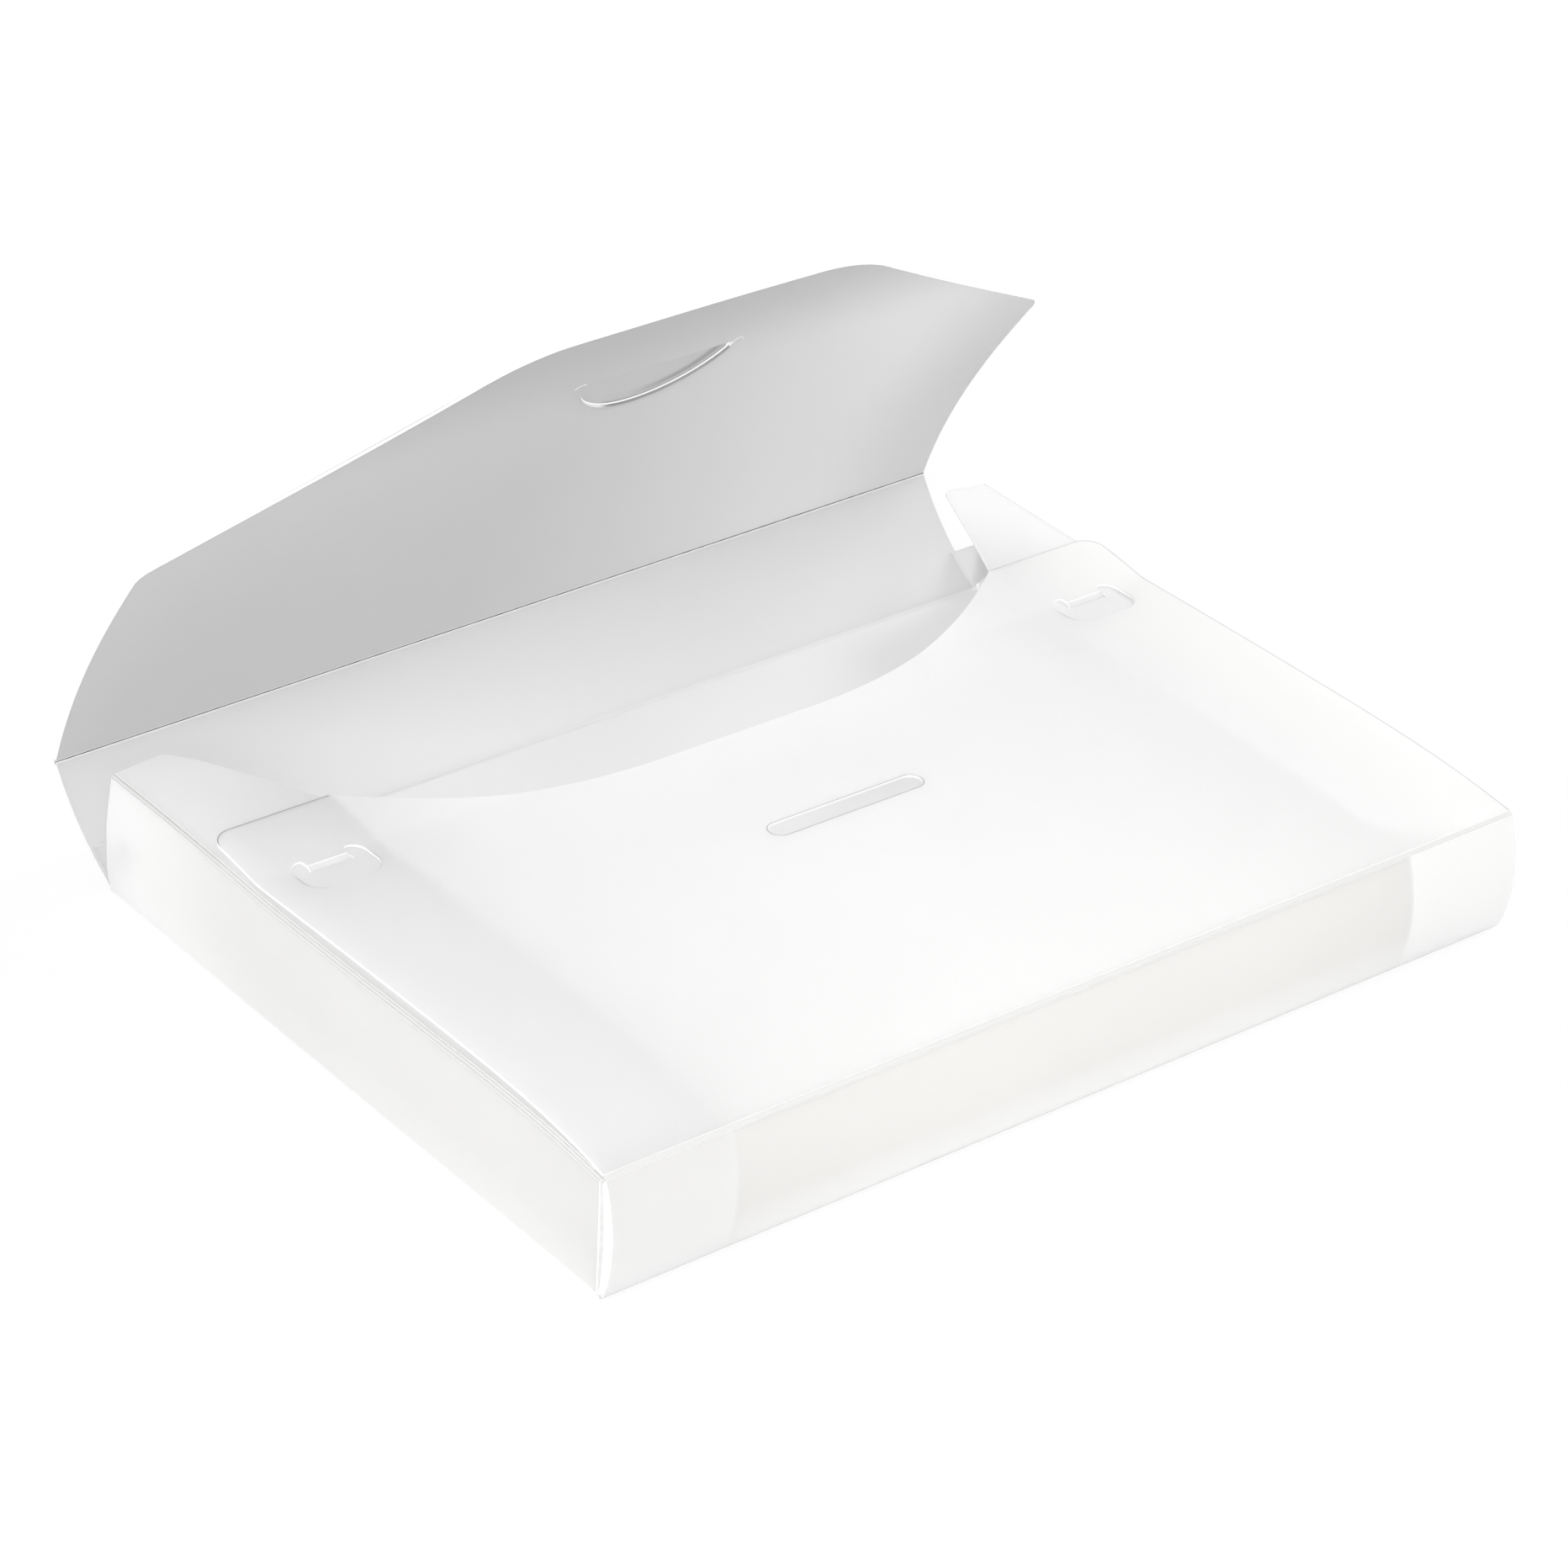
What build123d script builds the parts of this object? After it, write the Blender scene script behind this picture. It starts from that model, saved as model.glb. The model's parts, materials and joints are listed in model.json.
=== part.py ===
from build123d import *
import os
from math import atan, atan2, cos, degrees, hypot, radians, sin

# Box file folded from one creased sheet of frosted plastic, standing made up with its lid open.
# Origin at the centre of the underside, +X to the right, +Y to the lid, +Z up.
# Lengths are in millimetres and angles in degrees.

# The sheet and its folds
sheet = 0.8
web = 0.4  # thickness left in a scored crease
crease_reach = 0.7  # a panel stops this far from its fold line
slip = 0.4  # gap between panels that lie side by side

# The made-up box, over its creases
box_width = 330.0
box_depth = 245.0
box_height = 40.0
side_drop = 0.2  # the short walls are this much lower than the front wall
front_bow = 4.0  # the front wall stands out this far at half height

# The top panel rises from the front fold, is held down at its locks and kicks up behind them
top_reach = 192.0
crest_at = 65.0
crest_rise = 4.4
lock_at = 166.6
lock_rise = 2.3
valley_radius = 14.0
kick_up = 9.5
rear_rise = 5.2
top_corner = 7.0
scoop_width = 247.0
scoop_depth = 32.5
scoop_flat = 56.0
lid_slot_at = 107.2
lid_slot_width = 7.2
lid_slot_spare = 2.5  # the slot is this much longer than the lid's tongue is wide

# The locks, mushroom tongues that hold the top flaps
lock_inset = 24.0
lock_width = 25.0
lock_length = 13.0
lock_neck = 14.0
lock_lobe = 2.6  # the head's shoulders stand this far behind its neck line
lock_corner = 5.0
neck_drop = 80.0
neck_radius = 1.5
neck_return = 70.0
return_radius = 3.4
head_length = 8.5
head_shoulder = 1.5
slit_width = 2.6
slit_spare = 1.0

# The top flaps and the front tabs of the short walls
flap_width = 42.0
flap_rear_width = 18.0
flap_taper = 54.0
flap_front_gap = 6.0
flap_front_cut = 10.0
flap_corner = 5.0
flap_gap = 0.7  # between the flap's free edge and the top panel
flap_lift_rear = 5.8  # rise of the flap's free edge at the rear, if it ran on to there
tab_width = 41.5
tab_relief = 1.0

# The rear wall, its ears and the lid, at the angles of the open box
rear_wall_height = 42.5
rear_bow = 3.0
rear_lean = 47.1
ear_height = 15.0
ear_length = 29.0
ear_foot = 1.5
ear_taper = 11.8
ear_corner = 3.0
lid_lean = 18.8  # forward lean of the lid where it leaves its fold
lid_first_bend = 12.1  # further lean that it gains over each curled stretch
lid_first_stretch = 50.0
lid_second_bend = 5.2
lid_second_stretch = 45.0
lid_side = 98.5
lid_depth = 169.5
lid_front_width = 120.0
lid_corner = 5.0
lid_front_corner = 52.0

# The lid's tongue
tongue_at = 138.0
tongue_width = 53.0
tongue_length = 22.0
tongue_straight = 4.0
tongue_bend = 5.0
kerf = 0.4
relief_radius = 2.0
relief_width = 0.5

# Fold lines, in the middle of the sheet
half_width = box_width / 2
half_sheet = sheet / 2
side_x = half_width - half_sheet
fold_y = box_depth / 2 - half_sheet
base_z = half_sheet
top_z = box_height - half_sheet
side_z = top_z - side_drop
wall_rear_y = fold_y - half_sheet - slip
tab_y = -fold_y + sheet + slip
wall_front_y = tab_y + crease_reach
flap_front_y = -fold_y + flap_front_gap

os.makedirs("parts", exist_ok=True)


def save(piece, name):
    """Labels a finished piece and writes it."""
    piece.part.label = name
    export_step(piece.part, f"parts/{name}.step")


def at(point, heading, distance):
    """The point at a distance from another along a heading, counted from +Y towards +Z."""
    angle = radians(heading)
    return (point[0] + distance * cos(angle), point[1] + distance * sin(angle))


class Bend:
    """A stretch of sheet in profile: an arc, or a straight run, from a start point and heading."""

    def __init__(self, start, heading, length, turn=0.0):
        self.start, self.heading, self.length, self.turn = start, heading, length, turn

    def heading_at(self, s):
        return self.heading + self.turn * s / self.length

    def point(self, s, side=0.0):
        """The point at length s, moved sideways to the left of the heading."""
        half = radians(self.turn * s / self.length) / 2
        chord = s if half == 0 else s * sin(half) / half
        middle = at(self.start, self.heading + degrees(half), chord)
        return at(middle, self.heading_at(s) + 90, side)

    def end(self):
        return self.point(self.length)

    def end_heading(self):
        return self.heading + self.turn

    def reversed(self):
        """The same stretch, walked back from its end."""
        return Bend(self.end(), self.end_heading() + 180, self.length, -self.turn)

    def strip(self, first, last, thickness):
        """Adds the stretch between two lengths to the sketch, as thick as given."""
        half = thickness / 2
        middle = (first + last) / 2
        with BuildLine() as outline:
            for side in (half, -half):
                points = [self.point(s, side) for s in (first, middle, last)]
                if self.turn == 0:
                    Line(points[0], points[2])
                else:
                    ThreePointArc(*points)
            Line(self.point(first, half), self.point(first, -half))
            Line(self.point(last, half), self.point(last, -half))
        make_face(outline.edges())


def bend_to(start, heading, end):
    """The arc that leaves a start point on a heading and reaches an end point."""
    run, rise = end[0] - start[0], end[1] - start[1]
    half = degrees(atan2(rise, run)) - heading
    half = (half + 180) % 360 - 180
    chord = hypot(run, rise)
    length = chord if half == 0 else chord * radians(half) / sin(radians(half))
    return Bend(start, heading, length, 2 * half)


def bowed(start, heading, chord, bow):
    """An arc along a chord's heading that bows out to the right of it."""
    half = degrees(2 * atan(2 * bow / chord))
    return bend_to(start, heading - half, at(start, heading, chord))


def flat_plane(point, heading):
    """A work plane on a flat stretch: X across the box, Y along the heading from the point."""
    angle = radians(heading)
    return Plane(
        origin=(0, point[0], point[1]),
        x_dir=(1, 0, 0),
        z_dir=(0, -sin(angle), cos(angle)),
    )


def crease(name, plane, axis, reach, stretches):
    """A scored fold: a round bead on the fold line and a thin web to each panel it carries."""
    with BuildPart() as fold:
        with BuildSketch(plane):
            with Locations(axis):
                Circle(half_sheet)
            for stretch in stretches:
                stretch.strip(0, crease_reach, web)
        extrude(amount=reach)
    save(fold, name)


# Profiles of the long panels, seen from the right-hand side: (y, z)
front_fold = (-fold_y, base_z)
top_fold = (-fold_y, top_z)
rear_fold = (fold_y, base_z)
front_profile = bowed(top_fold, -90, top_z - base_z, front_bow)
crest = (-fold_y + crest_at, top_z + crest_rise)
lock_line = (-fold_y + lock_at, top_z + lock_rise)
top_rear = (-fold_y + top_reach, top_z + rear_rise)
rise_angle = degrees(2 * atan(crest_rise / crest_at))
rise = bend_to(top_fold, rise_angle, crest)
fall = bend_to(crest, rise.end_heading(), lock_line)
valley_turn = kick_up - fall.end_heading()
valley = Bend(lock_line, fall.end_heading(), valley_radius * radians(valley_turn), valley_turn)
kick = bend_to(valley.end(), kick_up, top_rear)
top_profile = [rise, fall, valley, kick]
rear_profile = bowed(rear_fold, 90 - rear_lean, rear_wall_height, rear_bow)
lid_fold = rear_profile.end()
lid_profile = [Bend(lid_fold, 90 + lid_lean, lid_first_stretch, lid_first_bend)]
last = lid_profile[-1]
lid_profile.append(Bend(last.end(), last.end_heading(), lid_second_stretch, lid_second_bend))
lid_curled = lid_first_stretch + lid_second_stretch
flat_start = lid_profile[-1].end()
lid_heading = lid_profile[-1].end_heading()
tongue_axis = at(flat_start, lid_heading, tongue_at - lid_curled)

# The base panel
with BuildPart() as base_panel:
    with BuildSketch():
        Rectangle(2 * (side_x - crease_reach), 2 * (fold_y - crease_reach))
    extrude(amount=sheet)
save(base_panel, "base_panel")

# The front wall, bowed outwards
with BuildPart() as front_wall:
    with BuildSketch(Plane.YZ):
        front_profile.strip(crease_reach, front_profile.length - crease_reach, sheet)
    extrude(amount=half_width, both=True)
save(front_wall, "front_wall")

# The top panel, with its scoop, its lid slot and the two windows that the lock tongues leave
scoop_y = top_rear[0] - scoop_depth
with BuildPart() as top_panel:
    with BuildSketch(Plane.YZ):
        for stretch in top_profile:
            first = crease_reach if stretch is top_profile[0] else 0
            stretch.strip(first, stretch.length, sheet)
    extrude(amount=half_width, both=True)
    with BuildSketch():
        with BuildLine():
            FilletPolyline(
                (-half_width, -box_depth),
                (-half_width, top_rear[0]),
                (half_width, top_rear[0]),
                (half_width, -box_depth),
                radius=top_corner,
            )
            Line((half_width, -box_depth), (-half_width, -box_depth))
        make_face()
        with BuildLine():
            base_line = Line((-scoop_flat / 2, scoop_y), (scoop_flat / 2, scoop_y))
            right = TangentArc(base_line @ 1, (scoop_width / 2, top_rear[0]), tangent=(1, 0))
            left = TangentArc(base_line @ 0, (-scoop_width / 2, top_rear[0]), tangent=(-1, 0))
            Polyline(right @ 1, (scoop_width / 2, box_depth), (-scoop_width / 2, box_depth), left @ 1)
        make_face(mode=Mode.SUBTRACT)
        with Locations((0, -fold_y + lid_slot_at)):
            SlotOverall(tongue_width + lid_slot_spare, lid_slot_width, mode=Mode.SUBTRACT)
        for side in (-1, 1):
            window_x = side * (half_width - lock_inset)
            with Locations((window_x, lock_line[0] - lock_length)):
                RectangleRounded(
                    lock_width,
                    lock_length + lock_lobe,
                    lock_corner,
                    align=(Align.CENTER, Align.MIN),
                    mode=Mode.SUBTRACT,
                )
            with Locations((window_x, lock_line[0])):
                Rectangle(lock_neck, lock_lobe, align=(Align.CENTER, Align.MIN))
    extrude(amount=2 * box_height, mode=Mode.INTERSECT)
save(top_panel, "top_panel")

# The creases along X
lengthways = Plane.YZ.offset(-half_width)
to_base = Bend(front_fold, 0, box_depth)
crease("front_base_crease", lengthways, front_fold, box_width, [to_base, front_profile.reversed()])
crease("front_top_crease", lengthways, top_fold, box_width, [front_profile, top_profile[0]])
crease("rear_base_crease", lengthways, rear_fold, box_width, [Bend(rear_fold, 180, box_depth)])
crease("lid_crease", lengthways, lid_fold, box_width, [rear_profile.reversed()])


def short_side(hand, side):
    """One short side: wall, top flap, front tab, lock tongue, rear ear and the fixed creases."""
    # The short wall
    wall_foot = base_z + crease_reach
    with BuildPart() as wall:
        with BuildSketch(Plane.XY.offset(wall_foot)):
            with Locations((side * side_x, (wall_front_y + wall_rear_y) / 2)):
                Rectangle(sheet, wall_rear_y - wall_front_y)
        extrude(amount=side_z - crease_reach - wall_foot)
    save(wall, f"{hand}_wall")

    # The top flap, flat at the front and rising to its free edge at the rear
    lock_x = side * (half_width - lock_inset)
    flap_x = side * (half_width - flap_width)
    flap_run = abs(flap_x - side * side_x)
    under_panel = [(y, z - sheet - flap_gap - side_z) for y, z in (lock_line, top_rear)]
    lifts = [(flap_front_y, 0.0), *under_panel, (wall_rear_y, flap_lift_rear)]
    with BuildPart() as flap:
        for y, lift in lifts:
            root = (side * (side_x - crease_reach), side_z + lift * crease_reach / flap_run)
            free = (flap_x, side_z + lift)
            with BuildSketch(Plane.XZ.offset(-y)):
                with BuildLine():
                    Polyline(
                        (root[0], root[1] - half_sheet),
                        (free[0], free[1] - half_sheet),
                        (free[0], free[1] + half_sheet),
                        (root[0], root[1] + half_sheet),
                        close=True,
                    )
                make_face()
        loft(ruled=True)
        with BuildSketch():
            with BuildLine():
                FilletPolyline(
                    (side * half_width, flap_front_y),
                    (flap_x + side * flap_front_cut, flap_front_y),
                    (flap_x, flap_front_y + flap_front_cut),
                    (flap_x, wall_rear_y - flap_taper),
                    (side * (half_width - flap_rear_width), wall_rear_y),
                    (side * half_width, wall_rear_y),
                    radius=flap_corner,
                )
                Line((side * half_width, wall_rear_y), (side * half_width, flap_front_y))
            make_face()
            with Locations((lock_x, lock_line[0] - slit_width / 2 - half_sheet)):
                Rectangle(lock_neck + slit_spare, slit_width, mode=Mode.SUBTRACT)
        extrude(amount=2 * box_height, mode=Mode.INTERSECT)
    save(flap, f"{hand}_top_flap")

    # The front tab, behind the front wall
    tab_foot = wall_foot
    tab_top = side_z - crease_reach - tab_relief
    tab_middle = side * (half_width - (half_width - side_x + crease_reach + tab_width) / 2)
    tab_reach = tab_width - (half_width - side_x + crease_reach)
    with BuildPart() as tab:
        with BuildSketch(Plane.XY.offset(tab_foot)):
            with Locations((tab_middle, tab_y)):
                Rectangle(tab_reach, sheet)
        extrude(amount=tab_top - tab_foot)
    save(tab, f"{hand}_front_tab")

    # The lock tongue: its neck goes down through the flap's slit and its head lies under the flap
    drop_length = neck_radius * radians(neck_drop)
    drop = Bend(lock_line, 180, drop_length, neck_drop)
    back = Bend(drop.end(), drop.end_heading(), return_radius * radians(neck_return), -neck_return)
    with BuildPart() as tongue:
        with BuildSketch(Plane.YZ.offset(lock_x)):
            drop.strip(0, drop.length, sheet)
            back.strip(0, back.length, sheet)
        extrude(amount=lock_neck / 2, both=True)
        with BuildSketch(flat_plane(back.end(), back.end_heading())):
            with Locations((lock_x, -head_shoulder)):
                RectangleRounded(
                    lock_width,
                    head_length + head_shoulder,
                    lock_corner - kerf,
                    align=(Align.CENTER, Align.MIN),
                )
        extrude(amount=half_sheet, both=True)
    save(tongue, f"{hand}_lock_tongue")

    # The rear ear, folded in from the rear wall's lower corner beside the short wall
    foot = rear_profile.point(ear_foot, half_sheet)
    head = rear_profile.point(ear_height, half_sheet)
    low_heading = 180 - rear_lean
    with BuildPart() as ear:
        with BuildSketch(Plane.YZ.offset(side * (side_x - sheet - slip))):
            with BuildLine():
                ThreePointArc(foot, rear_profile.point((ear_foot + ear_height) / 2, half_sheet), head)
                FilletPolyline(
                    head,
                    at(head, low_heading + ear_taper, ear_length),
                    at(foot, low_heading, ear_length),
                    foot,
                    radius=ear_corner,
                )
            make_face()
        extrude(amount=half_sheet, both=True)
    save(ear, f"{hand}_rear_ear")

    # The creases of the short side, which run along Y and, at the tab, along Z
    inward = 0 if side < 0 else 180
    base_axis = (side * side_x, base_z)
    top_axis = (side * side_x, side_z)
    tab_axis = (side * side_x, tab_y)
    crease(
        f"{hand}_base_crease",
        Plane.XZ.offset(-wall_rear_y),
        base_axis,
        wall_rear_y - wall_front_y,
        [Bend(base_axis, inward, box_width), Bend(base_axis, 90, box_height)],
    )
    crease(
        f"{hand}_top_crease",
        Plane.XZ.offset(-wall_rear_y),
        top_axis,
        wall_rear_y - flap_front_y,
        [Bend(top_axis, inward, box_width), Bend(top_axis, -90, box_height)],
    )
    crease(
        f"{hand}_tab_crease",
        Plane.XY.offset(tab_foot),
        tab_axis,
        tab_top - tab_foot,
        [Bend(tab_axis, inward, box_width), Bend(tab_axis, 90, box_depth)],
    )


short_side("left", -1)
short_side("right", 1)

# The rear wall, bowed outwards and leaning back
with BuildPart() as rear_wall:
    with BuildSketch(Plane.YZ):
        rear_profile.strip(crease_reach, rear_profile.length - crease_reach, sheet)
    extrude(amount=half_width, both=True)
save(rear_wall, "rear_wall")

# The lid, curled forward near its fold and flat beyond, with the window of its tongue
lid_plane = flat_plane(flat_start, lid_heading)


def tongue_face(root, top, spare, mode):
    """Adds the tongue's U to the sketch, grown by a spare width, from a root line and up to a top edge."""
    half = tongue_width / 2 + spare
    shoulder = root - tongue_straight
    with BuildLine() as outline:
        ThreePointArc((-half, shoulder), (0, root - tongue_length - spare), (half, shoulder))
        Polyline((half, shoulder), (half, top), (-half, top), (-half, shoulder))
    make_face(outline.edges(), mode=mode)


with BuildPart() as lid_flap:
    with BuildSketch(Plane.YZ):
        for stretch in lid_profile:
            first = crease_reach if stretch is lid_profile[0] else 0
            stretch.strip(first, stretch.length, sheet)
    extrude(amount=half_width, both=True)
    with BuildSketch(lid_plane):
        side_end = lid_side - lid_curled
        front_end = lid_depth - lid_curled
        with BuildLine():
            front = FilletPolyline(
                (-half_width, side_end),
                (-lid_front_width / 2, front_end),
                (lid_front_width / 2, front_end),
                (half_width, side_end),
                radius=lid_front_corner,
            )
            Polyline(front @ 1, (half_width, 0), (-half_width, 0), front @ 0)
        make_face()
        fillet(vertices().group_by(Axis.Y)[1], radius=lid_corner)
        root = tongue_at - lid_curled
        tongue_face(root, root + crease_reach, kerf, Mode.SUBTRACT)
        for side in (-1, 1):
            with BuildLine(mode=Mode.PRIVATE) as relief:
                CenterArc((side * (tongue_width / 2 + relief_radius), root), relief_radius, 0, 180)
            SlotArc(relief.edge(), relief_width, mode=Mode.SUBTRACT)
    extrude(amount=half_sheet, both=True)
save(lid_flap, "lid_flap")

# The fold of the lid's tongue and the tongue, bent a little inwards
with BuildPart() as lid_tongue_root:
    with BuildSketch(Plane.YZ):
        with Locations(tongue_axis):
            Circle(half_sheet)
        Bend(tongue_axis, lid_heading, tongue_length).strip(0, crease_reach, web)
    extrude(amount=tongue_width / 2, both=True)
save(lid_tongue_root, "lid_tongue_root")
with BuildPart() as lid_tongue:
    with BuildSketch(flat_plane(tongue_axis, lid_heading - tongue_bend)):
        tongue_face(0, -crease_reach, 0, Mode.ADD)
    extrude(amount=half_sheet, both=True)
save(lid_tongue, "lid_tongue")
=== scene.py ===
"""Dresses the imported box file: frosted plastic panels, their scored creases, floor, lamps and camera."""

import json
from math import atan, cos, degrees, pi, radians, sin, tan

import bpy
import numpy as np
from bpy.props import FloatProperty, FloatVectorProperty, PointerProperty
from bpy.types import Operator, Panel, PropertyGroup
from mathutils import Matrix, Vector
from mathutils.geometry import delaunay_2d_cdt


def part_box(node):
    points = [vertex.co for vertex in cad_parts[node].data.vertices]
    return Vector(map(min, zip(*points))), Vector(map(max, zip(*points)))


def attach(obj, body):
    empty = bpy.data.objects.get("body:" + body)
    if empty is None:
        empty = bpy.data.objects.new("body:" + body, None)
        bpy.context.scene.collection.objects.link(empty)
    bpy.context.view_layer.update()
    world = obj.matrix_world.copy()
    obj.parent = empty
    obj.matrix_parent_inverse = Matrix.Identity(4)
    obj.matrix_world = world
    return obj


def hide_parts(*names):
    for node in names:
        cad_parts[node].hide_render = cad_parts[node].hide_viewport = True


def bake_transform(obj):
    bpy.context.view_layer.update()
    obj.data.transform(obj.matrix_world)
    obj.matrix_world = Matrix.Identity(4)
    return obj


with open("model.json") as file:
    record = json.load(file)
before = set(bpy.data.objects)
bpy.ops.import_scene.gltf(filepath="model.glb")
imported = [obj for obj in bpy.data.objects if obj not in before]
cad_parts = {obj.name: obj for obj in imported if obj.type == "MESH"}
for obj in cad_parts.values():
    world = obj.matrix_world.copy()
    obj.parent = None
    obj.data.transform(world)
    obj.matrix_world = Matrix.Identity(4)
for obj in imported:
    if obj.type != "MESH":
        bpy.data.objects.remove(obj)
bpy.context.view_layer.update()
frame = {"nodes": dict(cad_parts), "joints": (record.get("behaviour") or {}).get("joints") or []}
hinge_at = {joint["name"]: joint["pos_m"] for joint in frame["joints"]}

bl_info = {
    "name": "Box file",
    "version": (1, 0, 0),
    "blender": (4, 5, 0),
    "location": "View3D > Sidebar > Box file",
    "description": "Builds a folded box file of frosted plastic sheet around its packed frame",
    "category": "Add Mesh",
}

HANDS = (("left", -1), ("right", 1))
MM = 0.001
FINE = 0.003  # distance between the mesh lines of a panel that curves, in metres
TOUCH = 0.0001  # gap between two sheets that lie on each other, in metres


def length(name, description, default):
    """A length setting, in metres."""
    return FloatProperty(name=name, description=description, default=default, unit="LENGTH", precision=5)


def turn(name, description, default):
    """An angle setting, given in degrees."""
    return FloatProperty(name=name, description=description, default=radians(default), subtype="ANGLE")


def number(name, description, default, **limits):
    """A plain number."""
    return FloatProperty(name=name, description=description, default=default, **limits)


def colour(name, description, red, green=None, blue=None):
    """A colour setting, linear red, green and blue, or one number for a grey."""
    default = (red, red, red) if green is None else (red, green, blue)
    return FloatVectorProperty(
        name=name, description=description, default=default, subtype="COLOR", size=3, min=0, max=1
    )


class SheetSizes(PropertyGroup):
    """The plastic sheet and its scored creases."""

    thickness: length("Thickness", "Thickness of the sheet", 0.0008)
    reach: length("Crease reach", "How far a panel stops from its fold line", 0.0007)
    groove: length("Groove", "Depth of the two grooves scored along a crease", 0.00012)
    chamfer: length("Chamfer", "Rounding of the sheet's cut edges", 0.00013)
    mesh: length("Mesh", "Distance between the mesh lines of a panel", 0.004)


class BoxSizes(PropertyGroup):
    """The made-up box, over its creases."""

    width: length("Width", "Length of the front wall", 0.33)
    depth: length("Depth", "Front to rear", 0.245)
    height: length("Height", "Height of the front wall", 0.04)
    side_drop: length("Side drop", "How much lower the short walls are", 0.0002)
    front_bow: length("Front bow", "How far the front wall stands out at half height", 0.004)
    side_bow: length("Side bow", "How far the left wall stands out at its rear edge", 0.0022)


class TopSizes(PropertyGroup):
    """The top panel with its scoop, slot and lock windows."""

    reach: length("Reach", "Front fold to rear edge", 0.192)
    crest_at: length("Crest at", "Front fold to the highest line", 0.065)
    crest_rise: length("Crest rise", "Rise of the highest line over the fold", 0.0044)
    lock_at: length("Lock line at", "Front fold to the line that the locks hold down", 0.1666)
    lock_rise: length("Lock line rise", "Rise of that line over the fold", 0.0023)
    rear_rise: length("Rear rise", "Rise of the rear edge over the fold", 0.0052)
    side_tilt: length("Side tilt", "How much higher the left edge is than the middle", 0.00125)
    corner: length("Corner", "Radius of the rear corners", 0.007)
    scoop_width: length("Scoop width", "Width of the hand scoop at the rear edge", 0.247)
    scoop_depth: length("Scoop depth", "Depth of the hand scoop", 0.0325)
    scoop_flat: length("Scoop flat", "Straight part of the scoop's edge", 0.056)
    slot_at: length("Slot at", "Front fold to the middle of the lid's slot", 0.1072)
    slot_length: length("Slot length", "Length of the lid's slot", 0.0555)
    slot_width: length("Slot width", "Width of the lid's slot", 0.0072)


class LockSizes(PropertyGroup):
    """The mushroom tongues that hold the top flaps."""

    inset: length("Inset", "Side edge to the middle of the lock", 0.024)
    width: length("Width", "Width of the tongue's head and of its window", 0.025)
    window: length("Window", "Front of the window to the neck line", 0.013)
    neck: length("Neck", "Width of the neck", 0.014)
    lobe: length("Lobe", "How far the window runs behind the neck line", 0.0026)
    corner: length("Corner", "Radius of the window's front corners", 0.0062)
    drop: turn("Drop", "How far the neck turns down", 80)
    drop_radius: length("Drop radius", "Radius of the neck's turn down", 0.0015)
    back: turn("Return", "How far the neck turns back to level", 70)
    back_radius: length("Return radius", "Radius of the neck's turn back", 0.0034)
    head: length("Head", "Length of the head under the flap", 0.0085)
    shoulder: length("Shoulder", "How far the head's shoulders reach back beside the neck", 0.0015)
    slit: length("Slit", "Width of the slit in the flap", 0.0018)
    front_bow: length("Front bow", "How far the window's front edge bows out", 0.0005)


class FlapSizes(PropertyGroup):
    """The top flaps and front tabs of the short walls."""

    width: length("Width", "Width of a top flap", 0.042)
    rear_width: length("Rear width", "Width of a top flap at its rear end", 0.018)
    taper: length("Taper", "Length over which a flap narrows", 0.054)
    front_gap: length("Front gap", "Front fold to the flap", 0.006)
    front_cut: length("Front cut", "Cut across the flap's front corner", 0.01)
    corner: length("Corner", "Radius of the flap's corners", 0.005)
    rear_lift: length("Rear lift", "Rise of the flap's free edge at the rear, if it ran on to there", 0.0058)
    tab: length("Tab", "Width of a front tab", 0.0415)
    gap: length("Gap", "Gap between panels that lie side by side", 0.0004)


class RearSizes(PropertyGroup):
    """The rear wall and its ears, at the angle of the open box."""

    height: length("Height", "Base fold to lid fold, straight across", 0.0425)
    bow: length("Bow", "How far the rear wall bows out", 0.003)
    lean: turn("Lean", "Backward lean of the rear wall", 47.1)
    ear_height: length("Ear height", "Height of an ear at its root", 0.015)
    ear_length: length("Ear length", "Length of an ear", 0.029)
    ear_foot: length("Ear foot", "Base fold to the ear", 0.0009)
    ear_taper: turn("Ear taper", "How much an ear narrows", 11.8)
    ear_corner: length("Ear corner", "Radius of an ear's corners", 0.003)


class LidSizes(PropertyGroup):
    """The lid and its tongue, in the open box."""

    depth: length("Depth", "Lid fold to front edge", 0.1695)
    side: length("Side", "Length of the lid's straight sides", 0.0985)
    front_width: length("Front width", "Width of the front edge, corners unrounded", 0.12)
    corner: length("Corner", "Radius of the side corners", 0.008)
    front_corner: length("Front corner", "Radius of the front corners", 0.052)
    lean: turn("Lean", "Forward lean of the lid at its fold", 18.8)
    most_lean: turn("Most lean", "Greatest forward lean", 36.63)
    most_at: length("Most lean at", "Lid fold to the greatest lean", 0.1158)
    twist: turn("Twist", "How much further the right edge leans", 1.43)
    tongue_at: length("Tongue at", "Lid fold to the tongue's root", 0.138)
    tongue_width: length("Tongue width", "Width of the tongue", 0.053)
    tongue_length: length("Tongue length", "Root to tip of the tongue", 0.022)
    tongue_straight: length("Tongue straight", "Straight part of the tongue's sides", 0.004)
    tongue_curl: length("Tongue curl", "How far the tongue's tip curls outwards", 0.0003)
    kerf: length("Kerf", "Width of the cut round the tongue", 0.0002)
    hook: length("Hook", "Radius of the cut's hooked ends", 0.002)


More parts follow.
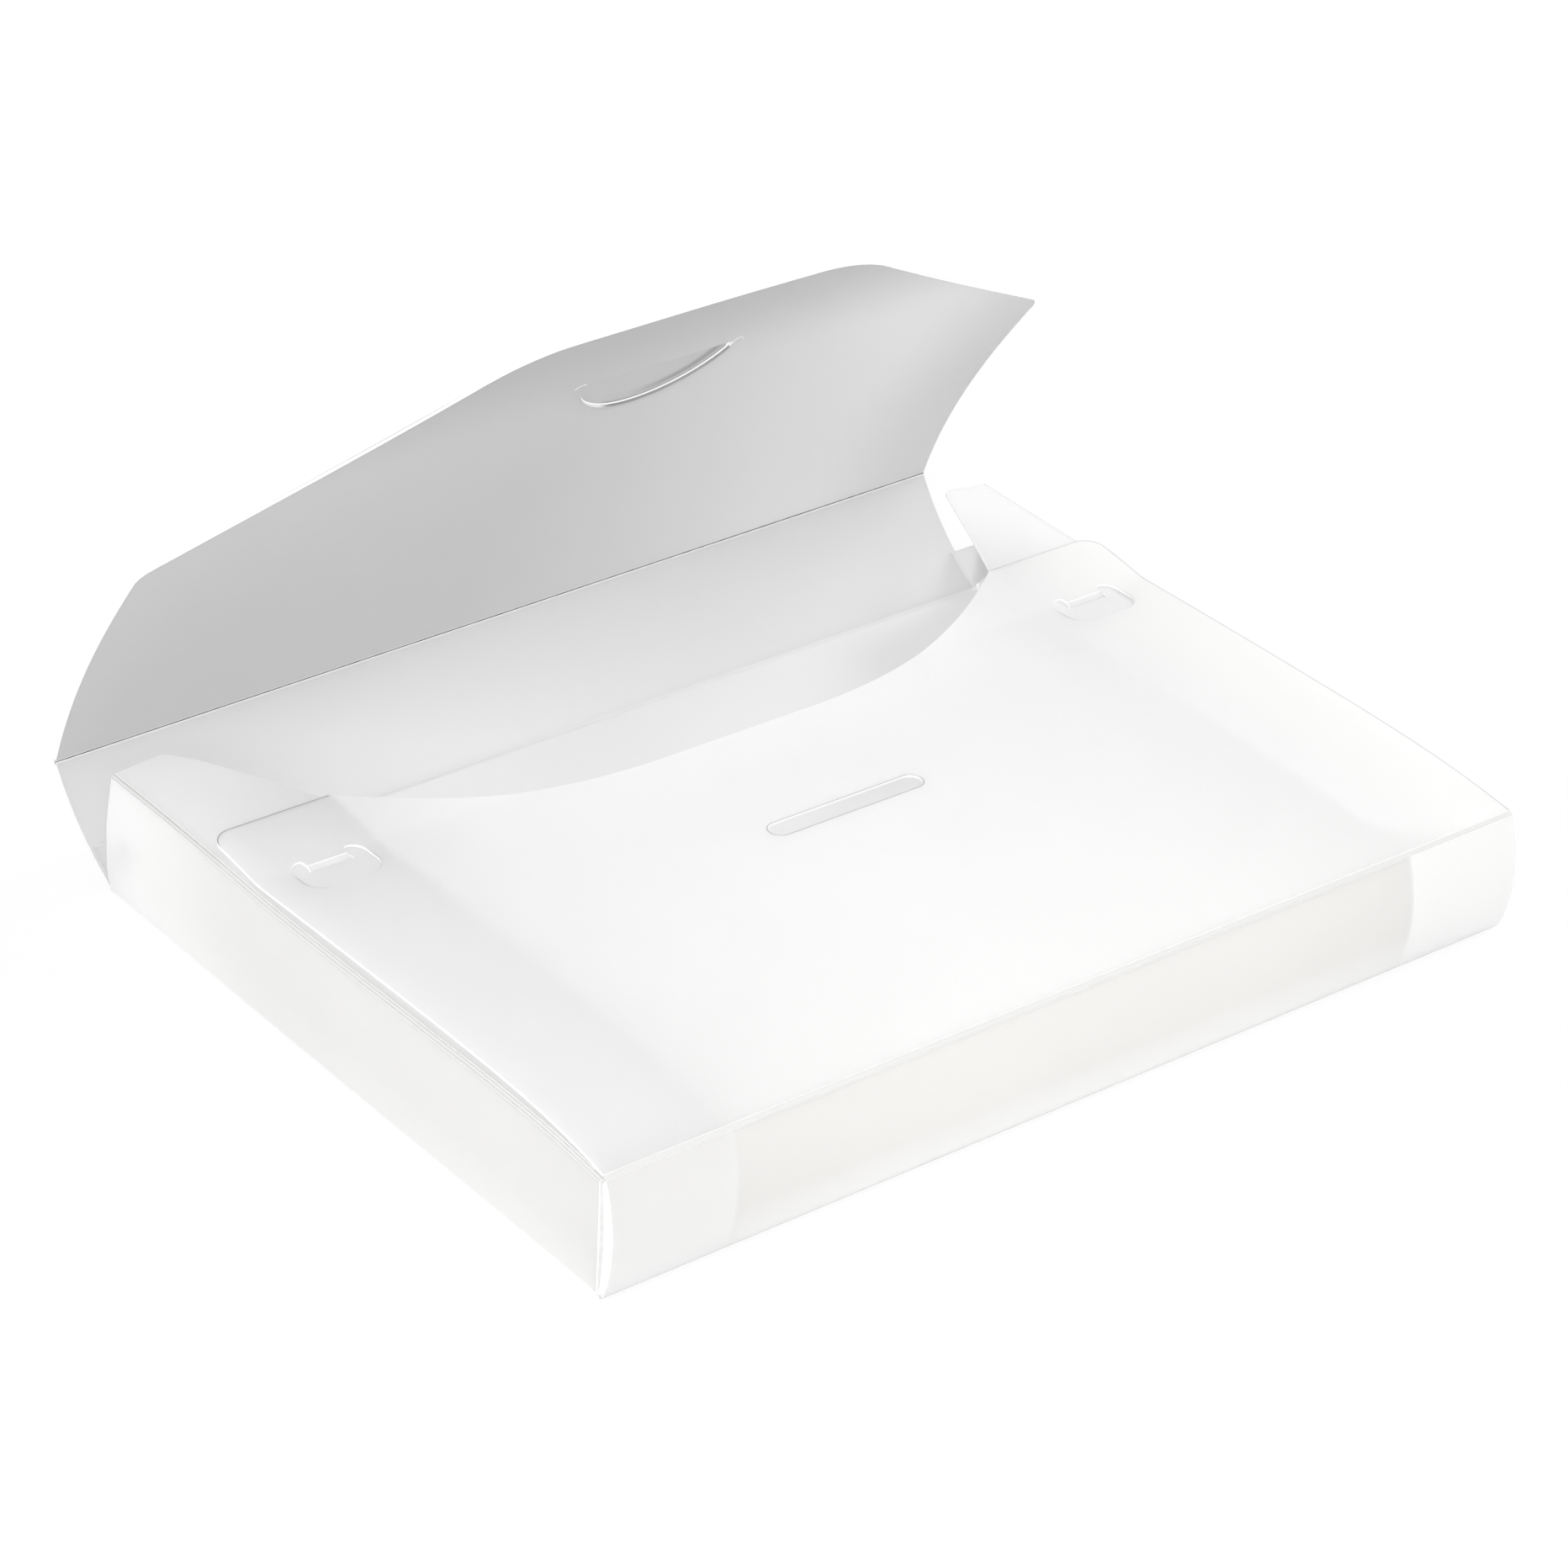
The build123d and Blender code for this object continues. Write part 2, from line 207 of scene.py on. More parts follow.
class Finishes(PropertyGroup):
    """Colours and surface of the plastic."""

    sheet: colour("Sheet", "The frosted sheet over the closed box", 0.97)
    # The front, flap, wall, ear and lock colours are the one sheet set paler or darker for the light that falls
    # on each part, painted light and shade; the faint beige of the front and walls is their own.
    front: colour("Front", "The front wall between its tabs", 0.928, 0.924, 0.913)
    flap: colour("Flap", "The top flaps", 0.962)
    # The rear wall's grey is painted shade, for the little light that a single layer gets back through it; the
    # same grey paints shade on the base, the flaps and the right wall.
    rear: colour("Rear", "The rear wall along the lid's fold, a single layer", 0.81)
    # Painted light: the rear wall's foot is made paler, and the crease there and the lid's foot on the right take
    # this colour.
    rear_foot: colour("Rear foot", "The rear wall at its foot", 0.95)
    # Painted shade on the base behind the scoop.
    base_rear: colour("Base rear", "The base behind the scoop", 0.86)
    wall: colour("Wall", "The left and right walls at their top", 0.945, 0.943, 0.935)
    ear: colour("Ear", "The rear wall's ears", 0.87)
    lock: colour("Lock", "The lock tongues", 0.95)
    # The lid's grey is painted shade, for the little light that a single layer gets back through it; its paler
    # right and greyer front edge are painted light and shade.
    lid: colour("Lid", "The lid, a single layer, at its left", 0.745)
    lid_right: colour("Lid right", "The lid at its right", 0.85)
    lid_top: colour("Lid top", "The lid along its front edge", 0.58)
    # Paler where a second sheet lies behind, partly a real double layer and partly painted light: on the top
    # panel only along the right, and on the front more so low down and on the right.
    doubled: colour("Doubled sheet", "Where another layer lies behind the sheet", 1.0, 1.0, 0.995)
    shade: colour("Layer edge", "Along the edge of a layer behind the sheet", 0.86)
    # Cut edges; the same white is also laid over panels as painted light wherever a layer makes them paler.
    cut: colour("Cut edge", "Cut edges and stressed spots", 1.0)
    # Painted shadow: the fine dark lines round the slot and the lock windows, along the top panel's rear and
    # right edges, and round the lid's tongue.
    seam: colour("Seam", "The fine dark line where two sheets touch or a slot is cut", 0.3)
    crease: colour("Crease", "The thin plastic at the bottom of a scored groove", 0.32, 0.32, 0.315)
    crease_side: colour("Crease side", "The plastic beside a scored groove", 0.97, 0.97, 0.965)
    # Painted shade: the left wall's fold is grey as under the top panel's edge, and the left flap is greyer
    # beside its fold; the tab creases' lines take this grey too.
    left_crease: colour("Left crease", "The fold between the left wall and its flap", 0.7, 0.7, 0.695)
    left_line: colour("Left crease line", "The grooves of the left wall's fold", 0.48, 0.48, 0.475)
    tongue: colour("Tongue", "The lid's tongue, shaded by the lid", 0.715)
    fold_line: colour("Fold line", "The bottom of the groove along the lid's fold", 0.05)
    roughness: number("Roughness", "Roughness of the sheet", 0.5, min=0, max=1)
    through: number("Light through", "Share of the light that the sheet lets on", 0.55, min=0, max=1)


class StageSettings(PropertyGroup):
    """Camera and lamps."""

    camera_at: FloatVectorProperty(
        name="Camera",
        description="Place of the camera",
        default=(-0.90762, -1.10274, 0.9076),
        subtype="TRANSLATION",
        unit="LENGTH",
    )
    heading: turn("Heading", "Direction of the camera, clockwise from the depth of the box", 39.099)
    tilt: turn("Tilt", "How far the camera looks down", 31.194)
    roll: turn("Roll", "Roll of the camera", 2.777)
    lens: number("Lens", "Focal length on a 36 mm sensor, in millimetres", 131.16)
    world: number("World", "Strength of the even light from all round", 0.575)
    lamp_front: number("Front lamp", "Power of the lamp in front on the left, in watts", 50.0)
    lamp_left: number("Left lamp", "Power of the lamp on the left, in watts", 3.0)
    lamp_right: number("Right lamp", "Power of the lamp on the right, in watts", 13.5)
    lamp_rear: number("Rear lamp", "Power of the lamp behind, in watts", 3.0)


class BoxFile(PropertyGroup):
    """All settings of the box file."""

    sheet: PointerProperty(type=SheetSizes)
    box: PointerProperty(type=BoxSizes)
    top: PointerProperty(type=TopSizes)
    lock: PointerProperty(type=LockSizes)
    flap: PointerProperty(type=FlapSizes)
    rear: PointerProperty(type=RearSizes)
    lid: PointerProperty(type=LidSizes)
    finish: PointerProperty(type=Finishes)
    stage: PointerProperty(type=StageSettings)


def settings():
    """The box file's settings."""
    return bpy.context.scene.box_file


# Curves


def curve_through(t, knots, values):
    """A smooth curve through points: a cubic between each two knots, with the neighbours' mean slope at
    each knot, and level beyond the ends."""
    knots, values = np.asarray(knots, float), np.asarray(values, float)
    slopes = np.gradient(values, knots)
    t = np.clip(t, knots[0], knots[-1])
    i = np.clip(np.searchsorted(knots, t) - 1, 0, len(knots) - 2)
    step = knots[i + 1] - knots[i]
    w = (t - knots[i]) / step
    return (
        (1 + 2 * w) * (1 - w) ** 2 * values[i]
        + w * (1 - w) ** 2 * step * slopes[i]
        + w * w * (3 - 2 * w) * values[i + 1]
        + w * w * (w - 1) * step * slopes[i + 1]
    )


def eased(t):
    """The smooth step 3t^2 - 2t^3 from 0 to 1, level beyond both."""
    t = np.clip(t, 0, 1)
    return t * t * (3 - 2 * t)


def ramp(t, softness):
    """The greater of t and 0, with the bend at 0 rounded: half of t plus the root of t^2 + softness^2."""
    return (t + np.sqrt(t * t + softness * softness)) / 2


def bent(start, heading, run, turned, s):
    """Points at lengths s on an arc that leaves a start point on a heading and turns evenly by an angle over
    its run: each lies one chord away, in the direction of half its own turn."""
    half = turned * s / run / 2
    chord = s * np.sinc(half / pi)
    return start[0] + chord * np.cos(heading + half), start[1] + chord * np.sin(heading + half)


def bowed(start, chord_heading, chord, bow):
    """Heading, run and turn of an arc over a chord that bows out to the right of it."""
    half = 2 * atan(2 * bow / chord)
    return start, chord_heading - half, chord * half / sin(half), 2 * half


def placed(x, y, z):
    """Points with these coordinates, each of which may be one number for all of them."""
    return np.stack(np.broadcast_arrays(x, y, z), axis=-1)


def mirrored(points):
    """Flat points on the other side of the middle, from the last to the first."""
    return (points * (-1, 1))[::-1]


def arc_radius(half_chord, sag):
    """Radius of the arc over a chord: half the chord squared and the sag squared, over twice the sag."""
    return (half_chord**2 + sag**2) / (2 * sag)


def arc(centre, radius, first, last, step=0.0006):
    """Points on a circle from a first to a last angle in degrees, evenly spaced."""
    count = max(3, int(abs(radians(last - first)) * radius / step) + 1)
    angle = np.radians(np.linspace(first, last, count))
    return np.stack((centre[0] + radius * np.cos(angle), centre[1] + radius * np.sin(angle)), axis=1)


def rounded(corners, radii):
    """A closed outline with its corners rounded: each arc touches both sides, radius / tan(half the corner's
    angle) away from the corner."""
    corners = np.asarray(corners, float)
    pieces = []
    for i, radius in enumerate(radii):
        corner = corners[i]
        if radius == 0:
            pieces.append(corner[None])
            continue
        back, on = corners[i - 1] - corner, corners[(i + 1) % len(corners)] - corner
        back, on = back / np.hypot(*back), on / np.hypot(*on)
        half = np.arccos(np.clip(back @ on, -1, 1)) / 2
        middle = (back + on) / np.hypot(*(back + on))
        centre = corner + middle * radius / sin(half)
        first, last = corner + back * radius / tan(half) - centre, corner + on * radius / tan(half) - centre
        start = degrees(np.arctan2(first[1], first[0]))
        sweep = (degrees(np.arctan2(last[1], last[0])) - start + 180) % 360 - 180
        pieces.append(arc(centre, radius, start, start + sweep))
    return np.concatenate(pieces)


# Sheets


def divided(loop, spacing):
    """A closed loop whose sides are split evenly into parts no longer than the spacing."""
    on = np.roll(loop, -1, axis=0)
    parts = np.maximum(1, np.ceil(np.hypot(*(on - loop).T) / spacing)).astype(int)
    side = np.repeat(np.arange(len(loop)), parts)
    part = np.arange(parts.sum()) - np.repeat(np.cumsum(parts) - parts, parts)
    share = (part / parts[side])[:, None]
    return loop[side] + share * (on - loop)[side]


def turned_loop(loop, anticlockwise):
    """The loop without repeated points, anticlockwise or clockwise as asked."""
    on = np.roll(loop, -1, axis=0)
    loop = loop[np.hypot(*(on - loop).T) > 1e-6]
    on = np.roll(loop, -1, axis=0)
    area = (loop[:, 0] * on[:, 1] - loop[:, 1] * on[:, 0]).sum()
    return loop if (area > 0) == anticlockwise else loop[::-1]


def moved_in(loop, distance):
    """The loop moved to its left, across the direction from each point's one neighbour to the other."""
    along = np.roll(loop, -1, axis=0) - np.roll(loop, 1, axis=0)
    along /= np.hypot(*along.T)[:, None]
    return loop + distance * np.stack((-along[:, 1], along[:, 0]), axis=1)


def within(points, loops):
    """True where a ray from a point along the first axis crosses the loops an odd number of times."""
    x, y = points[:, :1], points[:, 1:]
    crossings = np.zeros(len(points), int)
    for loop in loops:
        on = np.roll(loop, -1, axis=0)
        rise = np.where(on[:, 1] == loop[:, 1], 1, on[:, 1] - loop[:, 1])
        meets = loop[:, 0] + (y - loop[:, 1]) * (on[:, 0] - loop[:, 0]) / rise
        crossings += (((loop[:, 1] > y) != (on[:, 1] > y)) & (x < meets)).sum(axis=1)
    return crossings % 2 == 1


def filled(loops, columns, rows, clear=0.0013):
    """Flat points and triangles that fill the loops: the loops' points, the grid points inside that are clear
    of them, and the triangles between whose middles are inside."""
    edge = np.concatenate(loops)
    grid = np.stack(np.meshgrid(columns, rows), axis=-1).reshape(-1, 2)
    grid = grid[within(grid, loops)]
    away = np.hypot(grid[:, :1] - edge[:, 0], grid[:, 1:] - edge[:, 1]).min(axis=1)
    flat = np.concatenate((edge, grid[away > clear]))
    ends = np.cumsum([len(loop) for loop in loops])
    rounds = [np.arange(end - len(loop), end) for end, loop in zip(ends, loops)]
    sides = np.concatenate([np.stack((along, np.roll(along, -1)), axis=1) for along in rounds])
    points, _, faces, *_ = delaunay_2d_cdt((flat / MM).tolist(), sides.tolist(), [], 0, 1e-6)
    if len(points) != len(flat):
        raise RuntimeError(f"the outline crosses itself: {len(flat)} points became {len(points)}")
    faces = np.array(faces)
    faces = faces[within(flat[faces].mean(axis=1), loops)]
    a, b, c = (flat[faces[:, i]] for i in range(3))
    area = (b - a)[:, 0] * (c - a)[:, 1] - (b - a)[:, 1] * (c - a)[:, 0]
    faces[area < 0] = faces[area < 0][:, ::-1]
    return flat, faces, sides


def laid(shape, flat):
    """The places that a shape gives flat points, and the unit normals there, from its differences."""
    u, v = flat.T
    step = 1e-5
    across = shape(u + step, v) - shape(u - step, v)
    along = shape(u, v + step) - shape(u, v - step)
    normal = np.cross(across, along)
    return shape(u, v), normal / np.linalg.norm(normal, axis=1)[:, None]


def mesh_object(name, vertices, faces):
    """A new smooth-shaded object with a mesh, sharp where its faces meet at more than 30 degrees."""
    mesh = bpy.data.meshes.new(name)
    mesh.from_pydata(vertices.tolist(), [], faces)
    mesh.validate()
    mesh.shade_smooth()
    mesh.set_sharp_from_angle(angle=radians(30))
    piece = bpy.data.objects.new(name, mesh)
    bpy.context.scene.collection.objects.link(piece)
    return piece


def sheet_piece(name, outline, holes, shape, rows=None, spacing=None):
    """A closed solid of sheet: the flat outline and its holes are filled, the shape lays each flat point in
    space, and both faces stand half a thickness off along the normal. A narrow chamfer runs round every cut
    edge, whose faces carry the mark cut_edge."""
    sheet = settings().sheet
    half, chamfer = sheet.thickness / 2, sheet.chamfer
    spacing = spacing or sheet.mesh
    loops = [divided(turned_loop(loop, i == 0), spacing / 2) for i, loop in enumerate([outline, *holes])]
    low, high = loops[0].min(axis=0), loops[0].max(axis=0)
    columns = np.linspace(low[0], high[0], int((high[0] - low[0]) / spacing) + 2)
    if rows is None:
        rows = np.linspace(low[1], high[1], int((high[1] - low[1]) / spacing) + 2)
    flat, triangles, sides = filled([moved_in(loop, chamfer) for loop in loops], columns, rows)
    middle, normal = laid(shape, flat)
    edge, edge_normal = laid(shape, np.concatenate(loops))
    faces_off, rims_off = half * normal, (half - chamfer) * edge_normal
    vertices = np.concatenate((middle + faces_off, middle - faces_off, edge + rims_off, edge - rims_off))
    a, b = sides.T
    rings = [(a, b), (2 * len(flat) + a, 2 * len(flat) + b)]
    rings += [(2 * len(flat) + len(edge) + a, 2 * len(flat) + len(edge) + b), (len(flat) + a, len(flat) + b)]
    rim = np.concatenate([np.stack((p, r, s, q), axis=1) for (p, q), (r, s) in zip(rings, rings[1:])])
    faces = triangles.tolist() + (triangles[:, ::-1] + len(flat)).tolist() + rim.tolist()
    piece = mesh_object(name, vertices, faces)
    mark = piece.data.attributes.new("cut_edge", "FLOAT", "FACE")
    mark.data.foreach_set("value", (np.arange(len(faces)) >= 2 * len(triangles)).astype(np.float32))
    return piece


def crease_piece(name, first, fold, second, axis, scored=True, spread=0.36):
    """A scored fold as a closed strip. Its outer and inner faces are quadratic curves from one panel's edge to
    the next, drawn towards the corner in which the panels' faces would meet. Two grooves run outside and one
    inside, each a bell curve of the place across, the outer two a spread to either side of the middle. The
    strip tucks into both panels, and carries the depth of its grooves as the mark groove. A fold that isn't
    scored is flush with the panels."""
    sheet = settings().sheet
    first, fold, second = np.broadcast_arrays(first, fold, second)
    into, out = fold - first, second - fold
    into = into / np.linalg.norm(into, axis=1)[:, None]
    out = out / np.linalg.norm(out, axis=1)[:, None]
    face_a, face_b = np.cross(into, axis), np.cross(out, axis)
    corner = (face_a + face_b) / (1 + (face_a * face_b).sum(axis=1))[:, None]
    tuck, bell, half = TOUCH, 0.1, (0.43 if scored else 0.5) * sheet.thickness
    start, end = first - tuck * into, second + tuck * out
    w = np.linspace(0, 1, 25)[:, None]
    curves, depths = [], []
    for side, off in ((1, abs(w - 0.5) - spread), (-1, w - 0.5)):
        groove = np.exp(-((off / bell) ** 2))
        a = (start + side * half * face_a)[:, None]
        b = (fold + side * half * corner)[:, None]
        c = (end + side * half * face_b)[:, None]
        curve = (1 - w) ** 2 * a + 2 * w * (1 - w) * b + w * w * c
        normal = (1 - w) * face_a[:, None] + w * face_b[:, None]
        groove = groove if scored else 0 * groove
        curves.append(curve - side * sheet.groove * groove * normal)
        depths.append(groove[:, 0])
    ring = np.concatenate((curves[0], curves[1][:, ::-1]), axis=1)
    stations, around = ring.shape[:2]
    index = np.arange(stations * around).reshape(stations, around)
    walls = np.stack((index[:-1], np.roll(index[:-1], -1, 1), np.roll(index[1:], -1, 1), index[1:]), axis=-1)
    half_ring = np.arange(around // 2 - 1)
    cap = np.stack((half_ring, half_ring + 1, around - 2 - half_ring, around - 1 - half_ring), axis=1)
    faces = np.concatenate((walls.reshape(-1, 4), cap, (cap + index[-1, 0])[:, ::-1]))
    vertices = ring.reshape(-1, 3)
    here, on, _, over = vertices[faces[0]]
    if np.cross(on - here, over - here) @ face_a[0] < 0:
        faces = faces[:, ::-1]
    piece = mesh_object(name, vertices, faces.tolist())
    depth = np.tile(np.concatenate((depths[0], depths[1][::-1])), stations)
    mark = piece.data.attributes.new("groove", "FLOAT", "POINT")
    mark.data.foreach_set("value", depth.astype(np.float32))
    return piece


# The shapes of the panels, each a function of two flat measures


def half_width():
    """Distance of the box's ends from the middle."""
    return settings().box.width / 2


def fold_y():
    """Distance of the front and rear fold lines from the middle."""
    return (settings().box.depth - settings().sheet.thickness) / 2


def base_z():
    """Height of the base's middle."""
    return settings().sheet.thickness / 2


def top_z():
    """Height of the front wall's top fold."""
    return settings().box.height - settings().sheet.thickness / 2


def side_x():
    """Distance of the short walls' folds from the middle."""
    return (settings().box.width - settings().sheet.thickness) / 2


def side_level():
    """Height of the short walls' top folds, were they level."""
    return top_z() - settings().box.side_drop


def rear_y():
    """Place of the top panel's rear edge."""
    return settings().top.reach - fold_y()


def lock_y():
    """Place of the line that the locks hold down."""
    return settings().top.lock_at - fold_y()


def lock_x():
    """Distance of the locks' middle lines from the middle."""
    return half_width() - settings().lock.inset


def free_x():
    """Distance of the top flaps' free edges from the middle."""
    return half_width() - settings().flap.width


def panel_height(x, y):
    """Height of the top panel's middle. From the front fold it rises to the crest by 1 - (1 - t)^2.8, falls to
    the lock line by t^1.5 and kicks up to the rear edge by 1 - (1 - t)^1.5; the left side stands higher and the
    right side lower, fully so from about 40 mm behind the fold."""
    top = settings().top
    d = y + fold_y()
    up = top.crest_rise * (1 - (1 - np.clip(d / top.crest_at, 0, 1)) ** 2.8)
    fall = np.clip((d - top.crest_at) / (top.lock_at - top.crest_at), 0, 1)
    down = (top.crest_rise - top.lock_rise) * fall**1.5
    behind = ramp(d - top.lock_at, 0.0015) / (top.reach - top.lock_at)
    kick = (top.rear_rise - top.lock_rise) * (1 - (1 - np.clip(behind, 0, 1)) ** 1.5)
    tilt = top.side_tilt * (1 - np.exp(-np.maximum(d, 0) / 0.018))
    return top_z() + up - down + kick - tilt * x / half_width()


def top_shape(x, y):
    """The top panel, by its plan."""
    return placed(x, y, panel_height(x, y))


def side_fold_height(side, y):
    """Height of a short wall's top fold: the left one sinks at the front corner and waves along its length."""
    d = y + fold_y()
    if side > 0:
        return side_level() + 0 * d
    along, rise = (2, 20, 46, 85, 127, 160, 190, 213, 244), (-1.5, 0.2, 1.0, 0.5, -0.2, -0.35, 0.6, 1.1, 1.1)
    return side_level() + curve_through(d / MM, along, rise) * MM


def side_wall_shape(side):
    """A short wall, by its length and its height in an even wall. It stands out by a sine of its length and by a
    curve of its height that is greatest at a third."""

    def shape(y, v):
        foot, level = base_z(), side_level()
        z = foot + (v - foot) * (side_fold_height(side, y) - foot) / (level - foot)
        share = np.clip((v - foot) / (level - foot), 0, 1)
        swell = curve_through(share, (0, 0.15, 0.4, 0.65, 0.8, 1), (0.25, 0.85, 1, 0.85, 0.5, 0))
        far = np.clip((y + fold_y()) / (2 * fold_y()), 0, 1)
        out = settings().box.side_bow * swell * np.sin(pi / 2 * far) * (1 if side < 0 else 0.4)
        return placed(side * (side_x() + out), y, z)

    return shape


def flap_lift(side, y):
    """Rise of a top flap's free edge over its fold: low under the panel's middle, pressed against the panel's
    underside at its rear edge, and springing up behind it. The left one turns down again over its last 13 mm,
    where the closed lid passes over it."""
    top, flap = settings().top, settings().flap
    low, fall, fall_run = 0.0016, 0.0022 if side < 0 else 0, 0.013
    d = y + fold_y()
    held = float(panel_height(side * free_x(), rear_y()) - side_fold_height(side, rear_y()))
    held = held - settings().sheet.thickness - TOUCH
    front = low * eased((d - 0.01) / 0.06)
    down = fall * eased((d - 0.231) / fall_run)
    pressed = (held - low) * eased((d - 0.15) / (top.reach - 0.15))
    sprung = (flap.rear_lift - held) * np.clip((d - top.reach) / (2 * fold_y() - top.reach), 0, 1)
    return front - down + pressed + sprung


def flap_shape(side):
    """A top flap, by its plan: it rises evenly from its fold to its free edge and lies under the top panel, and
    its lock holds it up against the panel, fully so within 13 mm of the window's middle line."""

    def shape(x, y):
        top, d, across = settings().top, y + fold_y(), side_x() - side * x
        hidden, thin, stiff, soft = 0.00008, 0.0005, 0.013, 0.025
        share = across / (side_x() - half_width() + settings().flap.width)
        z = side_fold_height(side, y) + share * flap_lift(side, y)
        under = panel_height(x, y) - settings().sheet.thickness - hidden
        away = abs(d - top.lock_at + 0.005)
        held = (1 - eased((away - stiff) / soft)) * eased((across - 0.001) / 0.0105)
        covered = d < top.reach + thin
        z = np.where(covered, np.minimum(z, under), z)
        return placed(x, y, z + held * np.maximum(under - z, 0))

    return shape


def front_wall_arc():
    """The front wall's section, from its top fold down."""
    return bowed((-fold_y(), top_z()), radians(-90), top_z() - base_z(), settings().box.front_bow)


def front_wall_shape(x, s):
    """The front wall, by its width and the length of its arc from the top fold down."""
    return placed(x, *bent(*front_wall_arc(), s))


def tab_line(hand, z):
    """How far forward a front tab lies at a height: a sheet and 0.1 mm behind the front wall, and never behind
    its node."""
    wall = front_wall_shape(0, np.linspace(0, front_wall_arc()[2], 200))[::-1]
    low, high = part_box(f"{hand}_front_tab")
    behind = settings().sheet.thickness + TOUCH
    return np.minimum(np.interp(z, wall[:, 2], wall[:, 1]) + behind, (low[1] + high[1]) / 2)


def rear_wall_arc():
    """The rear wall's section, from the base fold up."""
    rear = settings().rear
    return bowed((fold_y(), base_z()), radians(90) - rear.lean, rear.height, rear.bow)


def rear_wall_shape(x, s):
    """The rear wall, by its width and the length of its arc from the base fold up."""
    return placed(x, *bent(*rear_wall_arc(), s))


def lid_line(s):
    """Place and heading of the lid's middle line: its lean grows as a parabola to the greatest lean and eases
    off beyond, and the line is the running sum of the steps along it."""
    lid = settings().lid
    spare, steps = 0.002, 800
    step = np.linspace(-spare, lid.depth + spare, steps)
    heading = radians(90) + lid.most_lean - (lid.most_lean - lid.lean) * (1 - step / lid.most_at) ** 2
    run = step[1] - step[0]
    line = []
    for part, fold_at in zip((np.cos(heading), np.sin(heading)), hinge_at["lid_fold"][1:]):
        along = np.concatenate(([0], np.cumsum((part[1:] + part[:-1]) / 2 * run)))
        line.append(along + (fold_at - np.interp(0, step, along)))
    return tuple(np.interp(s, step, values) for values in (*line, heading))


def lid_shape(x, s):
    """The lid, by its width and the length from its fold. The right side leans further: it stands forward of
    the middle line by the twist times the length, from the fold's first 30 mm on."""
    y, z, heading = lid_line(s)
    s, near = np.maximum(s, 0), 0.03
    reach = np.where(s < near, s * s / (2 * near), s - near / 2)
    forward = settings().lid.twist * reach * np.clip(x / half_width(), 0, 1) ** 1.6
    return placed(x, y - forward * np.sin(heading), z + forward * np.cos(heading))


def tongue_shape(x, r):
    """The lid's tongue, by its width and the distance from its root. It curls a little outwards."""
    lid = settings().lid
    _, root_y, root_z = hinge_at["lid_tongue_fold"]
    heading = float(lid_line(lid.tongue_at)[2])
    out = lid.tongue_curl * (r / lid.tongue_length) ** 2
    return placed(
        x, root_y - r * cos(heading) + out * sin(heading), root_z - r * sin(heading) - out * cos(heading)
    )


def tongue_edge(spare):
    """Half the width of the lid's tongue, and the radius and half the angle in degrees of its round edge, all
    grown by a spare width."""
    lid = settings().lid
    wide = lid.tongue_width / 2 + spare
    radius = arc_radius(wide, lid.tongue_length - lid.tongue_straight + spare)
    return wide, radius, degrees(np.arcsin(wide / radius))


def lock_shape(side):
    """A lock tongue, by its width and its length from the lock line: an arc down, an arc back to level and a
    flat head."""

    def shape(x, s):
        lock, top = settings().lock, settings().top
        middle = side * lock_x()
        start = (lock_y(), float(panel_height(middle, lock_y())))
        down_run, back_run = lock.drop * lock.drop_radius, lock.back * lock.back_radius
        heading = radians(180)
        one = bent(start, heading, down_run, lock.drop, np.clip(s, None, down_run))
        first_end = bent(start, heading, down_run, lock.drop, down_run)
        two = bent(first_end, heading + lock.drop, back_run, -lock.back, np.clip(s - down_run, 0, back_run))
        flat = heading + lock.drop - lock.back
        beyond = np.maximum(s - down_run - back_run, 0)
        y = one[0] + two[0] - first_end[0] + beyond * cos(flat)
        z = one[1] + two[1] - first_end[1] + beyond * sin(flat)
        tilt = -top.side_tilt * (x - middle) / half_width()
        return placed(x, y, z + tilt)

    return shape


# Materials


class Wire:
    """A node's output that can be used in sums: each operator adds its Math node."""

    def __init__(self, finish, socket):
        self.finish, self.socket = finish, socket

    def math(self, operation, *values):
        return self.finish.add("Math", enumerate(values), operation=operation)

    def __add__(self, other):
        return self.math("ADD", self, other)

    def __sub__(self, other):
        return self.math("SUBTRACT", self, other)

    def __rsub__(self, other):
        return self.math("SUBTRACT", other, self)

    def __mul__(self, other):
        return self.math("MULTIPLY", self, other)

    __radd__, __rmul__ = __add__, __mul__

    def step(self, low, high):
        """0 below the low value, 1 above the high one, smooth between."""
        values = {"Value": self, "From Min": low, "From Max": high}
        return self.finish.add("MapRange", values, interpolation_type="SMOOTHSTEP")

    def bigger(self, other):
        return self.math("MAXIMUM", self, other)

    def size(self):
        return self.math("ABSOLUTE", self)

    def root(self):
        return self.math("SQRT", self)

    def near(self, low, high):
        """1 up to the low distance from 0 on either side, 0 beyond the high one."""
        return 1 - self.size().step(low, high)


